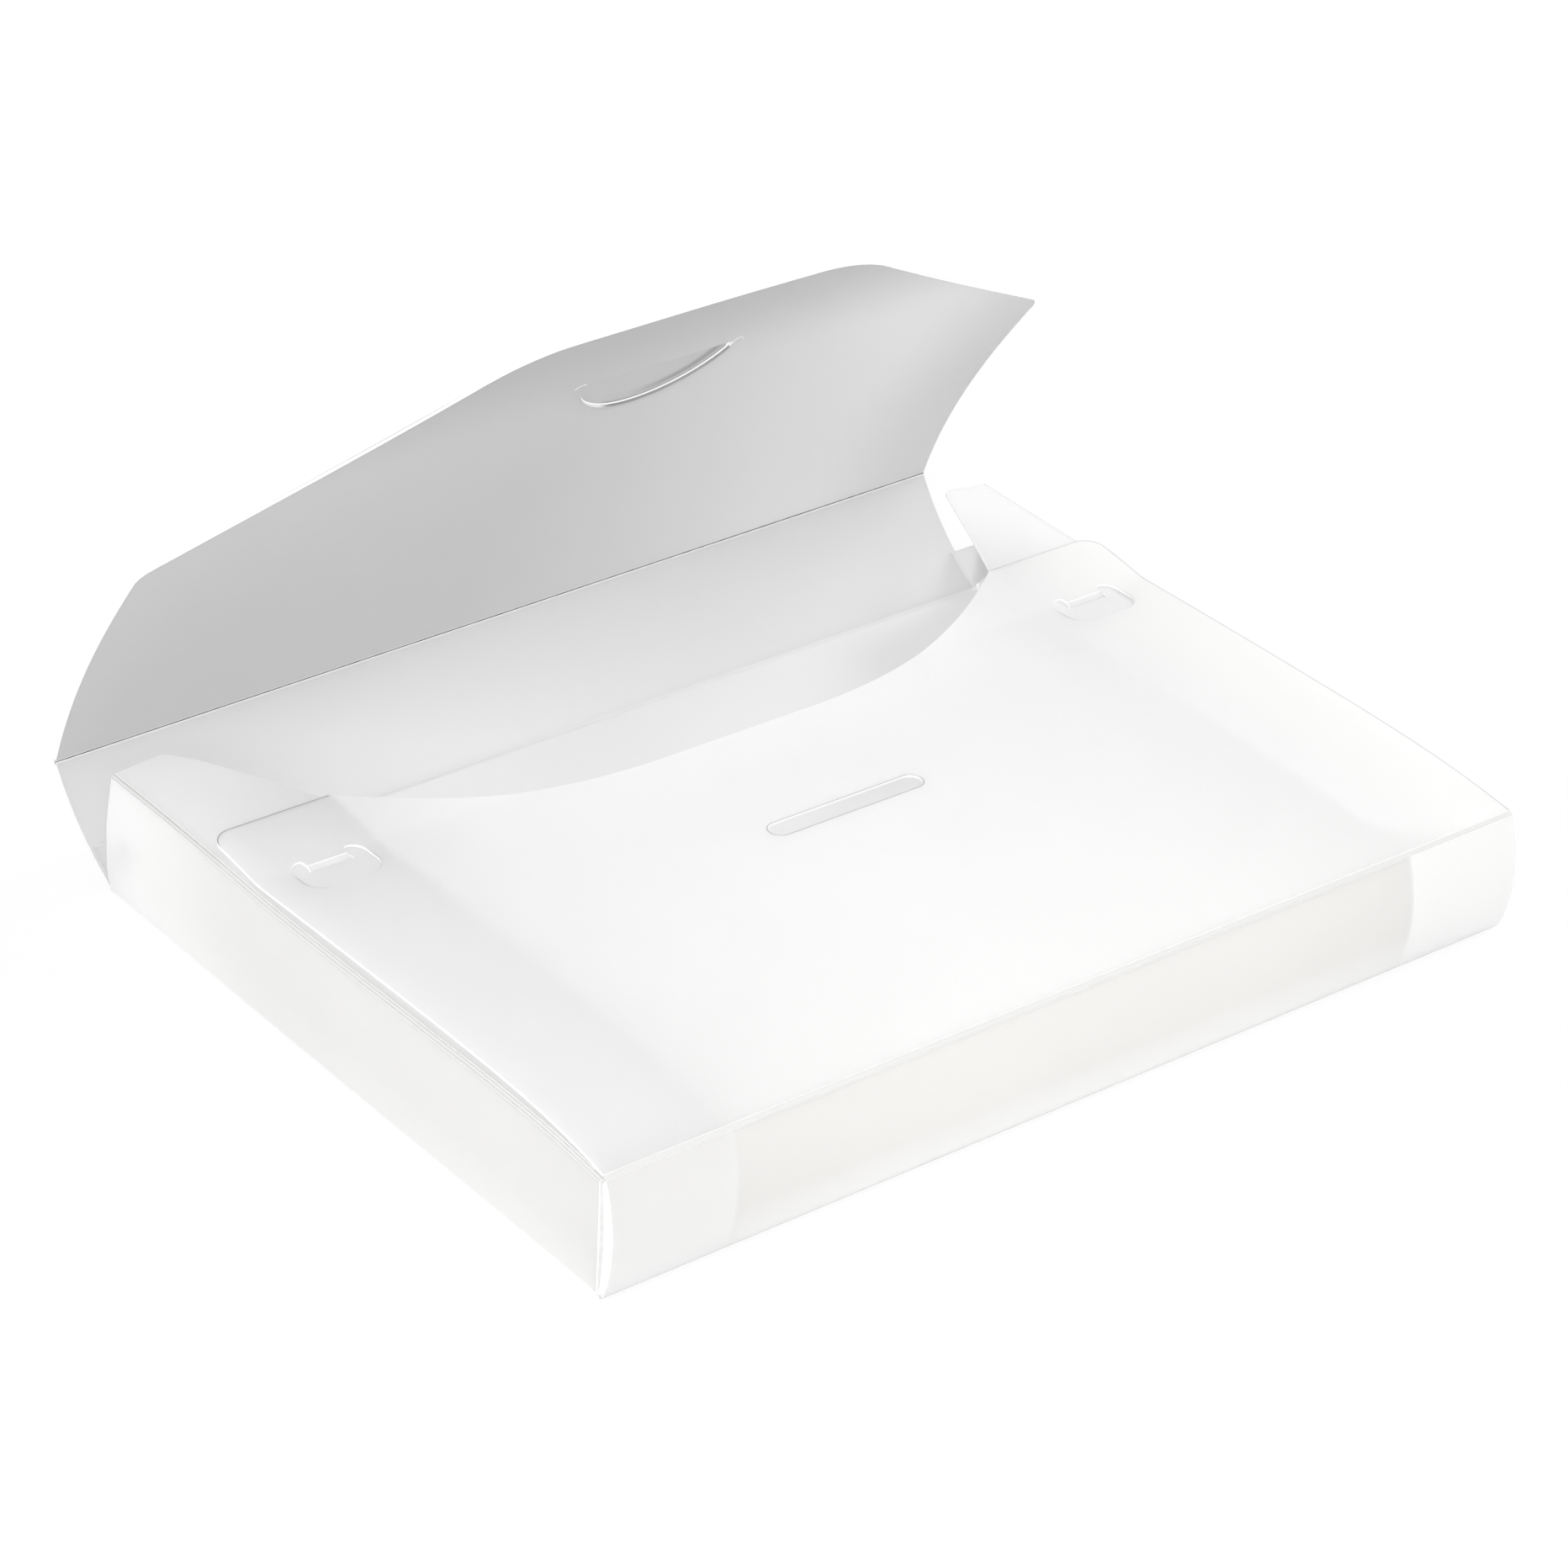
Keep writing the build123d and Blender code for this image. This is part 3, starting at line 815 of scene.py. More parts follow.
class Finish:
    """A node tree under construction: a new material's, or one that is given."""

    def __init__(self, name, tree=None):
        self.material = None
        if tree is None:
            self.material = bpy.data.materials.new(name)
            self.material.use_nodes = True
            tree = self.material.node_tree
        self.tree = tree
        self.tree.nodes.clear()

    def add(self, kind, values=(), out=0, **choices):
        """Adds a node of a kind, with its choices set first and then its sockets' values or wires."""
        node = self.tree.nodes.new(f"ShaderNode{kind}")
        for key, choice in choices.items():
            setattr(node, key, choice)
        for key, value in dict(values).items():
            if isinstance(value, Wire):
                self.tree.links.new(value.socket, node.inputs[key])
            else:
                node.inputs[key].default_value = value
        return Wire(self, node.outputs[out]) if node.outputs else None

    def mix(self, share, first, second):
        """A mix of two colours by a share."""
        colours = {6 + i: c if isinstance(c, Wire) else (*c, 1) for i, c in enumerate((first, second))}
        return self.add("Mix", {0: share, **colours}, out=2, data_type="RGBA")

    def place(self):
        """A point on the object, and its three coordinates."""
        point = self.add("TexCoord", out=3)
        parts = self.add("SeparateXYZ", {0: point})
        return point, [Wire(self, parts.socket.node.outputs[i]) for i in range(3)]

    def mark(self, name):
        """A mark that the mesh carries."""
        return self.add("Attribute", out=2, attribute_name=name)

    def noise(self, point, scale, detail=2.0, roughness=0.5):
        """Noise with so many bumps to a metre."""
        values = {"Vector": point, "Scale": scale, "Detail": detail, "Roughness": roughness}
        return self.add("TexNoise", values)

    def bump(self, height, distance, strength=1.0, normal=None):
        """A normal that makes a height show, on top of another normal where one is given."""
        values = {"Height": height, "Distance": distance, "Strength": strength}
        if normal is not None:
            values["Normal"] = normal
        return self.add("Bump", values)

    def seen(self):
        """1 for a ray from the camera, and for one that gloss or glass sends on."""
        path = self.add("LightPath")
        outputs = path.socket.node.outputs
        ways = [Wire(self, outputs[f"Is {way} Ray"]) for way in ("Camera", "Glossy", "Transmission")]
        return ways[0].bigger(ways[1]).bigger(ways[2])

    def close(self, shader):
        """Ends the tree with its shader, and gives back its material."""
        self.add("OutputMaterial", {"Surface": shader})
        return self.material


def sheet_finish(name, colour, layers=None, through=None, edge=0.9, rim=None, solid=0):
    """Frosted sheet: a faint cloudiness in its colour and sheen, a fine matte grain, a slow unevenness and pale
    cut edges that let no light on. Layers of painted light and shade, some also standing for sheets behind it,
    and painted shadow lines on it are laid over its colour in turn, each by its own mask; the first layer also
    holds back a share of the light."""
    look = settings().finish
    finish = Finish(name)
    point, axes = finish.place()
    cloud = finish.noise(point, scale=14.0, detail=3.0)
    grain = finish.noise(point, scale=2600.0, roughness=0.6)
    body = finish.mix(cloud.step(0.3, 0.7) * 0.35, colour, [c * 0.975 for c in colour])
    closed = cut = finish.mark("cut_edge")
    masks = layers(look, *axes) if layers else []
    for mask, laid_over in masks:
        body = finish.mix(mask, body, laid_over)
    if solid:
        closed = cut.bigger(masks[0][0] * solid)
    body = finish.mix(cut * edge, body, rim(look, *axes) if callable(rim) else rim or look.cut)
    slow = finish.noise(point, scale=22.0, detail=1.0)
    uneven = finish.bump(slow, distance=0.0004, strength=0.5)
    normal = finish.bump(grain, distance=0.00002, strength=0.5, normal=uneven)
    roughness = finish.noise(point, scale=60.0) * 0.08 + (look.roughness - 0.04)
    gloss = {"Roughness": roughness, "IOR": 1.49, "Specular IOR Level": 0.4}
    shader = finish.add("BsdfPrincipled", {"Base Color": body, "Normal": normal, **gloss})
    through = look.through if through is None else through
    if through == 0:
        return finish.close(shader)
    glow = finish.add("BsdfTranslucent", {"Color": body, "Normal": normal})
    both = finish.add("MixShader", {0: (1 - closed) * through, 1: shader, 2: glow})
    return finish.close(both)


def crease_finish(name, pale, dark, low=0.35, high=0.8):
    """Scored plastic: a thin grey line at the bottom of each groove, from a low to a high share of its depth,
    and paler beside them."""
    finish = Finish(name)
    point, _ = finish.place()
    groove = finish.mark("groove")
    speck = finish.noise(point, scale=420.0, detail=3.0)
    line = groove.step(low, high) * (0.75 + speck.step(0.3, 0.7) * 0.25)
    body = finish.mix(line, pale, dark)
    normal = finish.bump(finish.noise(point, scale=900.0), distance=0.00003, strength=0.6)
    values = {"Base Color": body, "Roughness": speck * 0.15 + 0.3, "Normal": normal, "IOR": 1.49}
    return finish.close(finish.add("BsdfPrincipled", values))


def material(name):
    """One of the box file's materials, made when it is first asked for."""
    if name in bpy.data.materials:
        return bpy.data.materials[name]
    look = settings().finish
    made = {
        "crease": lambda: crease_finish(name, look.crease_side, look.crease, 0.5, 0.95),
        "left_crease": lambda: crease_finish(name, look.left_crease, look.left_line),
        "pale_crease": lambda: crease_finish(name, look.cut, look.cut),
        "lid_fold_crease": lambda: crease_finish(name, look.rear, look.fold_line, 0.05, 0.25),
        "soft_crease": lambda: sheet_finish(name, look.rear_foot),
        # The base is opaque white, painted light for the inside of the box; its layers paint shade.
        "base_sheet": lambda: sheet_finish(name, look.cut, base_layers, through=0),
        "top_sheet": lambda: sheet_finish(name, look.sheet, top_layers, through=0.68, solid=0.55),
        # The front wall's cut edges are grey, painted shade.
        "front_sheet": lambda: sheet_finish(name, look.front, front_layers, rim=look.shade, solid=0.55),
        "wall_sheet": lambda: sheet_finish(name, look.wall, wall_layers, edge=0),
        # The tabs are white, painted light in the gap behind the front wall's ends.
        "tab_sheet": lambda: sheet_finish(name, look.cut, edge=0.2),
        "flap_sheet": lambda: sheet_finish(name, look.flap, flap_layers, solid=0.35),
        "lock_sheet": lambda: sheet_finish(name, look.lock, edge=0.3),
        "rear_sheet": lambda: sheet_finish(name, look.rear, rear_layers, edge=0.2),
        "ear_sheet": lambda: sheet_finish(name, look.ear, through=0.6, edge=0.2),
        "lid_sheet": lambda: sheet_finish(name, look.lid, lid_layers, rim=lid_rim),
        "tongue_sheet": lambda: sheet_finish(name, look.tongue, tongue_layers, rim=lid_rim),
        "tab_crease": lambda: crease_finish(name, look.crease_side, look.left_crease, 0.2, 0.6),
    }
    return made[name]()


# Layers and lines, from a place's coordinates, that mostly paint light and shade into the colour. The numbers
# given to step and near are metres, and a factor is the share of a colour that is laid over.


def off_edge(beyond, behind, radius):
    """How far outside a round edge a place is that lies so far beyond and behind the edge's centre."""
    return (beyond * beyond + behind * behind).root() - radius


def slot_shadow(x, y):
    """A fine painted shadow line round the lid's slot, whose edge is everywhere a radius away from its middle
    line.
    """
    top = settings().top
    radius = top.slot_width / 2
    beyond = (x.size() - (top.slot_length / 2 - radius)).bigger(0)
    return off_edge(beyond, y - (top.slot_at - fold_y()), radius).near(0.0001, 0.0006)


def window_shadow(x, y):
    """A fine painted shadow line along the front and sides of the lock windows, whose edge is everywhere a
    corner's radius away from a smaller rectangle."""
    lock = settings().lock
    beyond = ((x.size() - lock_x()).size() - (lock.width / 2 - lock.corner)).bigger(0)
    ahead = ((lock_y() - lock.window + lock.corner) - y).bigger(0)
    away = off_edge(beyond, ahead, lock.corner)
    front = 1 - y.step(lock_y() - lock.corner, lock_y())
    return away.near(0.0002, 0.0006) * front


def rear_edge_shadow(x, y):
    """A fine painted shadow line along the top panel's rear edge beside the scoop and round its rear corners,
    whose edge is everywhere the corner's radius away from a smaller rectangle; and a fainter one along its right
    edge."""
    radius = settings().top.corner
    beyond = (x.size() - (half_width() - radius)).bigger(0)
    behind = (y - (rear_y() - radius)).bigger(0)
    away = off_edge(beyond, behind, radius)
    outer = x.size().step(0.1, 0.12) * behind.step(0, 0.003) * (1 - x.step(0, 0.1) * 0.5)
    right = x.step(0.15, 0.16) * 0.6
    return away.step(-0.0007, -0.0003) * outer.bigger(right)


def tongue_arc(x, z):
    """How far outside the lid tongue's round edge a place is, and how far below the tongue's root."""
    lid = settings().lid
    _, radius, _ = tongue_edge(0)
    heading = float(lid_line(lid.tongue_at)[2])
    below = (hinge_at["lid_tongue_fold"][2] - z) * (1 / sin(heading))
    return off_edge(x, below - (lid.tongue_length - radius), radius), below


def lid_rim(look, x, y, z):
    """The lid's cut edges are pale, but dark with painted shadow along the tongue's round edge, all but its left
    end.
    """
    outside, below = tongue_arc(x, z)
    dark = outside.near(0.0012, 0.0018) * below.step(0.003, 0.004)
    return x.finish.mix(dark * x.step(-0.014, -0.008), look.cut, look.seam)


def tongue_layers(look, x, y, z):
    """Painted shade on the lid's tongue: it is darkest in a streak inside its round edge on the right, where it
    curls, and has a fine painted shadow line along that edge."""
    outside, below = tongue_arc(x, z)
    right = x.step(-0.006, 0.014)
    streak = (outside.step(-0.0075, -0.004) - outside.step(-0.0035, -0.0012)) * right
    line = outside.step(-0.0007, -0.0003) * below.step(0.003, 0.004)
    return [
        (streak * 0.8, look.left_line),
        (outside.step(-0.003, -0.001) * right, look.lid),
        (line * x.step(-0.014, -0.008) * 0.9, look.seam),
    ]


def base_layers(look, x, y, z):
    """Painted shade on the base: it is greyer behind the scoop, in the middle and on the right, and most of all
    at the rear right.
    """
    behind, right = y.step(0.045, 0.088) * x.step(-0.09, 0.02), y.step(0.095, 0.115) * x.step(0.0, 0.07)
    return [(behind, look.base_rear), (right * 0.4, look.rear)]


def rear_layers(look, x, y, z):
    """Painted light on the rear wall: it is evenly paler towards its foot, less so on the right, and less at its
    left end.
    """
    foot = (1 - z * 34) * (1 - x.step(-0.08, 0.09) * 0.6) * (0.4 + x.step(-0.165, -0.125) * 0.6)
    return [(foot, look.rear_foot)]


def wall_layers(look, x, y, z):
    """Painted light and shade on a short wall: it is evenly paler down its lowest 14 mm; towards its rear end the
    left one is paler too, and the right one greyer, a painted shadow of the ear that lies behind it."""
    left, rear = 1 - x.step(0, 0.01), y.step(0.05, 0.12)
    ear = x.step(0, 0.01) * y.step(0.09, 0.105)
    return [((1 - z * 70) * 0.7, look.cut), (rear * left * 0.9, look.cut), (ear * 0.4, look.rear)]


def top_layers(look, x, y, z):
    """Painted light and shade on the top panel over the flaps under it: a paler strip along the right side, as
    wide as a flap, partly the second layer and partly painted light, and on the left a soft greyer band of
    painted shade beside the flap's free edge and over the flap; paler towards the scoop, painted light; fine
    painted shadow lines round the slot and the windows and along the rear."""
    behind = x.step(free_x() - 0.006, free_x() + 0.03) * 0.8
    scoop = y.step(0.0, 0.06) * (1 - x.size().step(0.08, 0.12))
    band = (x + (free_x() + 0.001)).near(0.001, 0.016)
    flap = 1 - (x + free_x()).step(-0.004, 0.004)
    lines = (slot_shadow(x, y) * 0.8).bigger(rear_edge_shadow(x, y) * 0.7).bigger(window_shadow(x, y) * 0.5)
    shade = band * 0.1 + flap * 0.2
    return [(behind, look.doubled), (scoop, look.cut), (shade, look.shade), (lines, look.seam)]


def front_layers(look, x, y, z):
    """The tabs behind the front wall, paler, partly as a second layer and partly as painted light that grows low
    down and on the right, each with a pale line along its edge; and the wall is evenly paler down its lowest
    14 mm, painted light."""
    inward = x.size() - (half_width() - settings().flap.tab)
    behind = inward.step(-0.0005, 0.001)
    line = inward.near(0.0002, 0.0012)
    low = (1 - z * 27).bigger(0)
    behind = behind * (0.3 + (low * 0.6).bigger(x.step(0, 0.1) * 0.7))
    return [(behind, look.doubled), (line * 0.35, look.cut), (1 - z * 70, look.cut)]


def flap_layers(look, x, y, z):
    """A top flap's shading: paler on the right, a soft greyer spot in the corner that the top panel's rear edge
    makes with the flap's free edge, and greyer under the lock window and beside the left fold."""
    lock = settings().lock
    spot = (x.size() - free_x()).near(0.0, 0.05) * (y - rear_y()).near(0.0, 0.05)
    across, ahead = (x.size() - lock_x()).size(), lock_y() - y
    under = 1 - across.step(lock.width / 2, lock.width)
    under = under * (ahead.step(-0.006, 0) - ahead.step(lock.window, 0.02))
    right = x.step(0, 0.01)
    fold = (1 - (x + half_width()).step(0.001, 0.005)) * (1 - y.step(0.03, 0.09))
    grey = (spot * 0.5).bigger(under * (right * 0.2 + 0.1))
    return [(right, look.cut), (grey, look.rear), (fold * 0.4, look.left_crease)]


def lid_layers(look, x, y, z):
    """Painted light and shade on the lid: it is palest a little to the right of its middle, and at its foot
    there, and greyer towards its front edge."""
    right = x.step(-0.03, 0.12) - x.step(0.11, 0.17) * 0.9
    high = z.step(0.13, 0.18)
    low = (1 - z.step(0.035, 0.08)) * x.step(0.05, 0.13)
    return [(right, look.lid_right), (high * 0.6, look.lid_top), (low * 0.2, look.rear_foot)]


def plain_strip(low_x, high_x, low_s, high_s):
    """A rectangle's outline."""
    return np.array([(low_x, low_s), (high_x, low_s), (high_x, high_s), (low_x, high_s)])


def middle_of(edge):
    """The middle of an edge, as three plain numbers."""
    return tuple(float(c) for c in edge.mean(axis=0))


def dress(piece, node, body, finish):
    """Gives a piece its material, lets it ride on a body and stand for its node."""
    piece.data.materials.append(material(finish))
    "crease" if "crease" in finish else "sheet"
    if body:
        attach(piece, body)
    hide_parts(node)


def add_sheet(node, body, finish, outline, shape, holes=(), rows=None, spacing=None):
    """Adds the sheet that stands for a node."""
    name = "lid" if node == "lid_flap" else node
    dress(sheet_piece(f"{name}_sheet", outline, holes, shape, rows, spacing), node, body, finish)


def add_crease(node, body, finish, first, fold, second, axis, scored=True, spread=0.36):
    """Adds the strip that stands for a crease. One between two bodies rides on neither of them."""
    piece = crease_piece(f"{node}_strip", first, fold, second, axis, scored, spread)
    if isinstance(body, str):
        dress(piece, node, body, finish)
    else:
        dress(piece, node, None, finish)
        middle_of(first)
        middle_of(second)
        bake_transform(piece)


class BOXFILE_OT_top_panel(Operator):
    """Adds the top panel with its scoop, its slot and its two lock windows"""

    bl_idname = "boxfile.top_panel"
    bl_label = "Top panel"

    def execute(self, context):
        top, lock, sheet = settings().top, settings().lock, settings().sheet
        half, front, rear = half_width(), sheet.reach - fold_y(), rear_y()
        run = top.scoop_width / 2 - top.scoop_flat / 2
        radius = arc_radius(run, top.scoop_depth)
        angle = degrees(2 * atan(top.scoop_depth / run))
        bottom = rear - top.scoop_depth
        scoop = arc((top.scoop_flat / 2, bottom + radius), radius, -90 + angle, -90, 0.0015)
        scoop[0, 0] += 0.0004
        corner = rounded(
            [(half - 0.02, rear - 0.03), (half, rear - 0.03), (half, rear), (half - 0.02, rear)],
            [0, 0, top.corner, 0],
        )[2:-1]
        right = np.concatenate(([(half, front)], corner, scoop))
        outline = np.concatenate(([(-half, front)], right, mirrored(right)[:-1]))
        round_end = top.slot_width / 2
        slot_y, reach = top.slot_at - fold_y(), top.slot_length / 2 - round_end
        slot = np.concatenate(
            (arc((reach, slot_y), round_end, -90, 90), arc((-reach, slot_y), round_end, 90, 270))
        )
        line = lock_y()
        ahead, behind, wide, narrow = line - lock.window, line + lock.lobe, lock.width / 2, lock.neck / 2
        corners = [(-wide, ahead), (0, ahead - lock.front_bow), (wide, ahead), (wide, behind), (narrow, behind)]
        corners += [(narrow, line), (-narrow, line), (-narrow, behind), (-wide, behind)]
        lobe, root, neck, bow = 0.0042, 0.001, 0.0004, 0.1
        radii = [lock.corner, bow, lock.corner, lobe, root, neck, neck, root, lobe]
        windows = [rounded(np.array(corners) + (side * lock_x(), 0), radii) for _, side in HANDS]
        sparse = np.arange(front + 0.003, line - 0.004, sheet.mesh)
        dense = np.arange(line - 0.003, line + 0.005, 0.001)
        rows = np.concatenate((sparse, dense, np.arange(line + 0.007, rear, FINE)))
        add_sheet("top_panel", "box", "top_sheet", outline, top_shape, [slot, *windows], rows)
        return {"FINISHED"}


class BOXFILE_OT_front_wall(Operator):
    """Adds the bowed front wall and the two tabs behind it"""

    bl_idname = "boxfile.front_wall"
    bl_label = "Front wall"

    def execute(self, context):
        reach, run = settings().sheet.reach, front_wall_arc()[2]
        outline = plain_strip(-half_width(), half_width(), reach, run - reach)
        add_sheet("front_wall", "box", "front_sheet", outline, front_wall_shape, spacing=FINE)
        for hand, side in HANDS:
            low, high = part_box(f"{hand}_front_tab")
            outline = plain_strip(low[0], high[0], low[2], high[2])
            outline = rounded(outline, [0.003 if (i in (0, 3)) == (side > 0) else 0 for i in range(4)])

            def shape(x, z):
                return placed(x, tab_line(hand, z), z)

            add_sheet(f"{hand}_front_tab", "box", "tab_sheet", outline, shape, spacing=FINE)
        return {"FINISHED"}


class BOXFILE_OT_side_walls(Operator):
    """Adds the two short walls"""

    bl_idname = "boxfile.side_walls"
    bl_label = "Short walls"

    def execute(self, context):
        reach = settings().sheet.reach
        for hand, side in HANDS:
            low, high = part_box(f"{hand}_wall")
            outline = plain_strip(low[1], high[1], base_z() + reach, side_level() - reach)
            add_sheet(f"{hand}_wall", "box", "wall_sheet", outline, side_wall_shape(side), spacing=FINE)
        return {"FINISHED"}


class BOXFILE_OT_top_flaps(Operator):
    """Adds the two top flaps, with the slits that the locks pass through"""

    bl_idname = "boxfile.top_flaps"
    bl_label = "Top flaps"

    def execute(self, context):
        sheet, flap, lock = settings().sheet, settings().flap, settings().lock
        front, rear = -fold_y() + flap.front_gap, fold_y() - sheet.thickness / 2 - flap.gap
        root, free, cut = side_x() - sheet.reach, free_x(), flap.front_cut
        corners = [(root, front), (free + cut, front), (free, front + cut), (free, rear - flap.taper)]
        corners += [(half_width() - flap.rear_width, rear), (root, rear)]
        wide, slit_rear = lock.neck / 2 + 0.0005, lock_y() - sheet.thickness / 2
        for hand, side in HANDS:
            outline = rounded(np.array(corners) * (side, 1), [0, *[flap.corner] * 4, 0])
            middle = side * lock_x()
            slit = plain_strip(middle - wide, middle + wide, slit_rear - lock.slit, slit_rear)
            add_sheet(f"{hand}_top_flap", "box", "flap_sheet", outline, flap_shape(side), [slit], spacing=FINE)
        return {"FINISHED"}


class BOXFILE_OT_locks(Operator):
    """Adds the two lock tongues, bent down through the flaps"""

    bl_idname = "boxfile.locks"
    bl_label = "Lock tongues"

    def execute(self, context):
        lock = settings().lock
        bends = lock.drop * lock.drop_radius + lock.back * lock.back_radius
        foot, tip = bends - lock.shoulder, bends + lock.head
        wide, narrow = lock.width / 2, lock.neck / 2
        corners = [(-narrow, 0), (narrow, 0), (narrow, foot), (wide, foot), (wide, tip)]
        corners += [(-wide, tip), (-wide, foot), (-narrow, foot)]
        neck, shoulder, head = 0.0006, 0.003, 0.0046
        radii = [0, 0, neck, shoulder, head, head, shoulder, neck]
        rows = np.linspace(0, tip, 20)
        for hand, side in HANDS:
            outline = rounded(np.array(corners) + (side * lock_x(), 0), radii)
            add_sheet(f"{hand}_lock_tongue", "box", "lock_sheet", outline, lock_shape(side), (), rows, 0.0016)
        return {"FINISHED"}


class BOXFILE_OT_rear_wall(Operator):
    """Adds the bowed rear wall and its two ears"""

    bl_idname = "boxfile.rear_wall"
    bl_label = "Rear wall"

    def execute(self, context):
        sheet, rear = settings().sheet, settings().rear
        profile = rear_wall_arc()
        outline = plain_strip(-half_width(), half_width(), sheet.reach, profile[2] - sheet.reach)
        add_sheet("rear_wall", "rear_wall", "rear_sheet", outline, rear_wall_shape, spacing=FINE)
        low_heading = radians(180) - rear.lean
        inner = [np.array(self.inside(profile, s)) for s in np.linspace(rear.ear_foot, rear.ear_height, 8)]
        foot, head = inner[0], inner[-1]

        def off(point, heading):
            return point + rear.ear_length * np.array((cos(heading), sin(heading)))

        corners = [head, off(head, low_heading + rear.ear_taper), off(foot, low_heading), foot, *inner[1:-1]]
        outline = rounded(corners, [0, rear.ear_corner, rear.ear_corner, *[0] * 7])
        for hand, side in HANDS:
            ear_x = side * (side_x() - sheet.thickness - settings().flap.gap)
            add_sheet(f"{hand}_rear_ear", "rear_wall", "ear_sheet", outline, lambda y, z: placed(ear_x, y, z))
        return {"FINISHED"}

    @staticmethod
    def inside(profile, s):
        """A point on the rear wall's inner face."""
        heading = profile[1] + profile[3] * s / profile[2] + pi / 2
        y, z = bent(*profile, s)
        half = settings().sheet.thickness / 2
        return y + half * cos(heading), z + half * sin(heading)


class BOXFILE_OT_lid(Operator):
    """Adds the curled lid with the cut round its tongue"""

    bl_idname = "boxfile.lid"
    bl_label = "Lid"

    def execute(self, context):
        lid, sheet = settings().lid, settings().sheet
        half, front = half_width(), lid.front_width / 2
        corners = [(-half, sheet.reach), (half, sheet.reach), (half, lid.side)]
        corners += [(front, lid.depth), (-front, lid.depth), (-half, lid.side)]
        outline = rounded(corners, [0, 0, lid.corner, lid.front_corner, lid.front_corner, lid.corner])
        wide, radius, spread = tongue_edge(lid.kerf)
        root = lid.tongue_at
        bottom = arc((0, root - lid.tongue_length - lid.kerf + radius), radius, -90 - spread, -90 + spread)
        inner, outer = lid.hook - lid.kerf / 2, lid.hook + lid.kerf / 2
        hook_x = wide + inner
        last = 180 - degrees(np.arcsin(sheet.reach / outer))
        tip = arc((hook_x + lid.hook, root), lid.kerf / 2, 180, 360, 0.0001)
        into, out = arc((hook_x, root), inner, 180, 0, 0.0003), arc((hook_x, root), outer, 0, last, 0.0003)
        hook = np.concatenate((into, tip[1:-1], out))
        window = np.concatenate((bottom, hook, mirrored(hook)))
        sparse, dense = np.arange(0.002, 0.118, sheet.mesh), np.arange(0.12, 0.145, 0.0025)
        rows = np.concatenate((sparse, dense, np.arange(0.148, lid.depth, 0.0035)))
        add_sheet("lid_flap", "lid", "lid_sheet", outline, lid_shape, [window], rows)
        return {"FINISHED"}


class BOXFILE_OT_lid_tongue(Operator):
    """Adds the lid's tongue"""

    bl_idname = "boxfile.lid_tongue"
    bl_label = "Lid tongue"

    def execute(self, context):
        reach = settings().sheet.reach
        wide, radius, spread = tongue_edge(0)
        edge = arc((0, settings().lid.tongue_length - radius), radius, 90 - spread, 90 + spread)
        outline = np.concatenate(([(-wide, reach), (wide, reach)], edge))
        add_sheet("lid_tongue", "lid_tongue", "tongue_sheet", outline, tongue_shape, spacing=0.002)
        return {"FINISHED"}


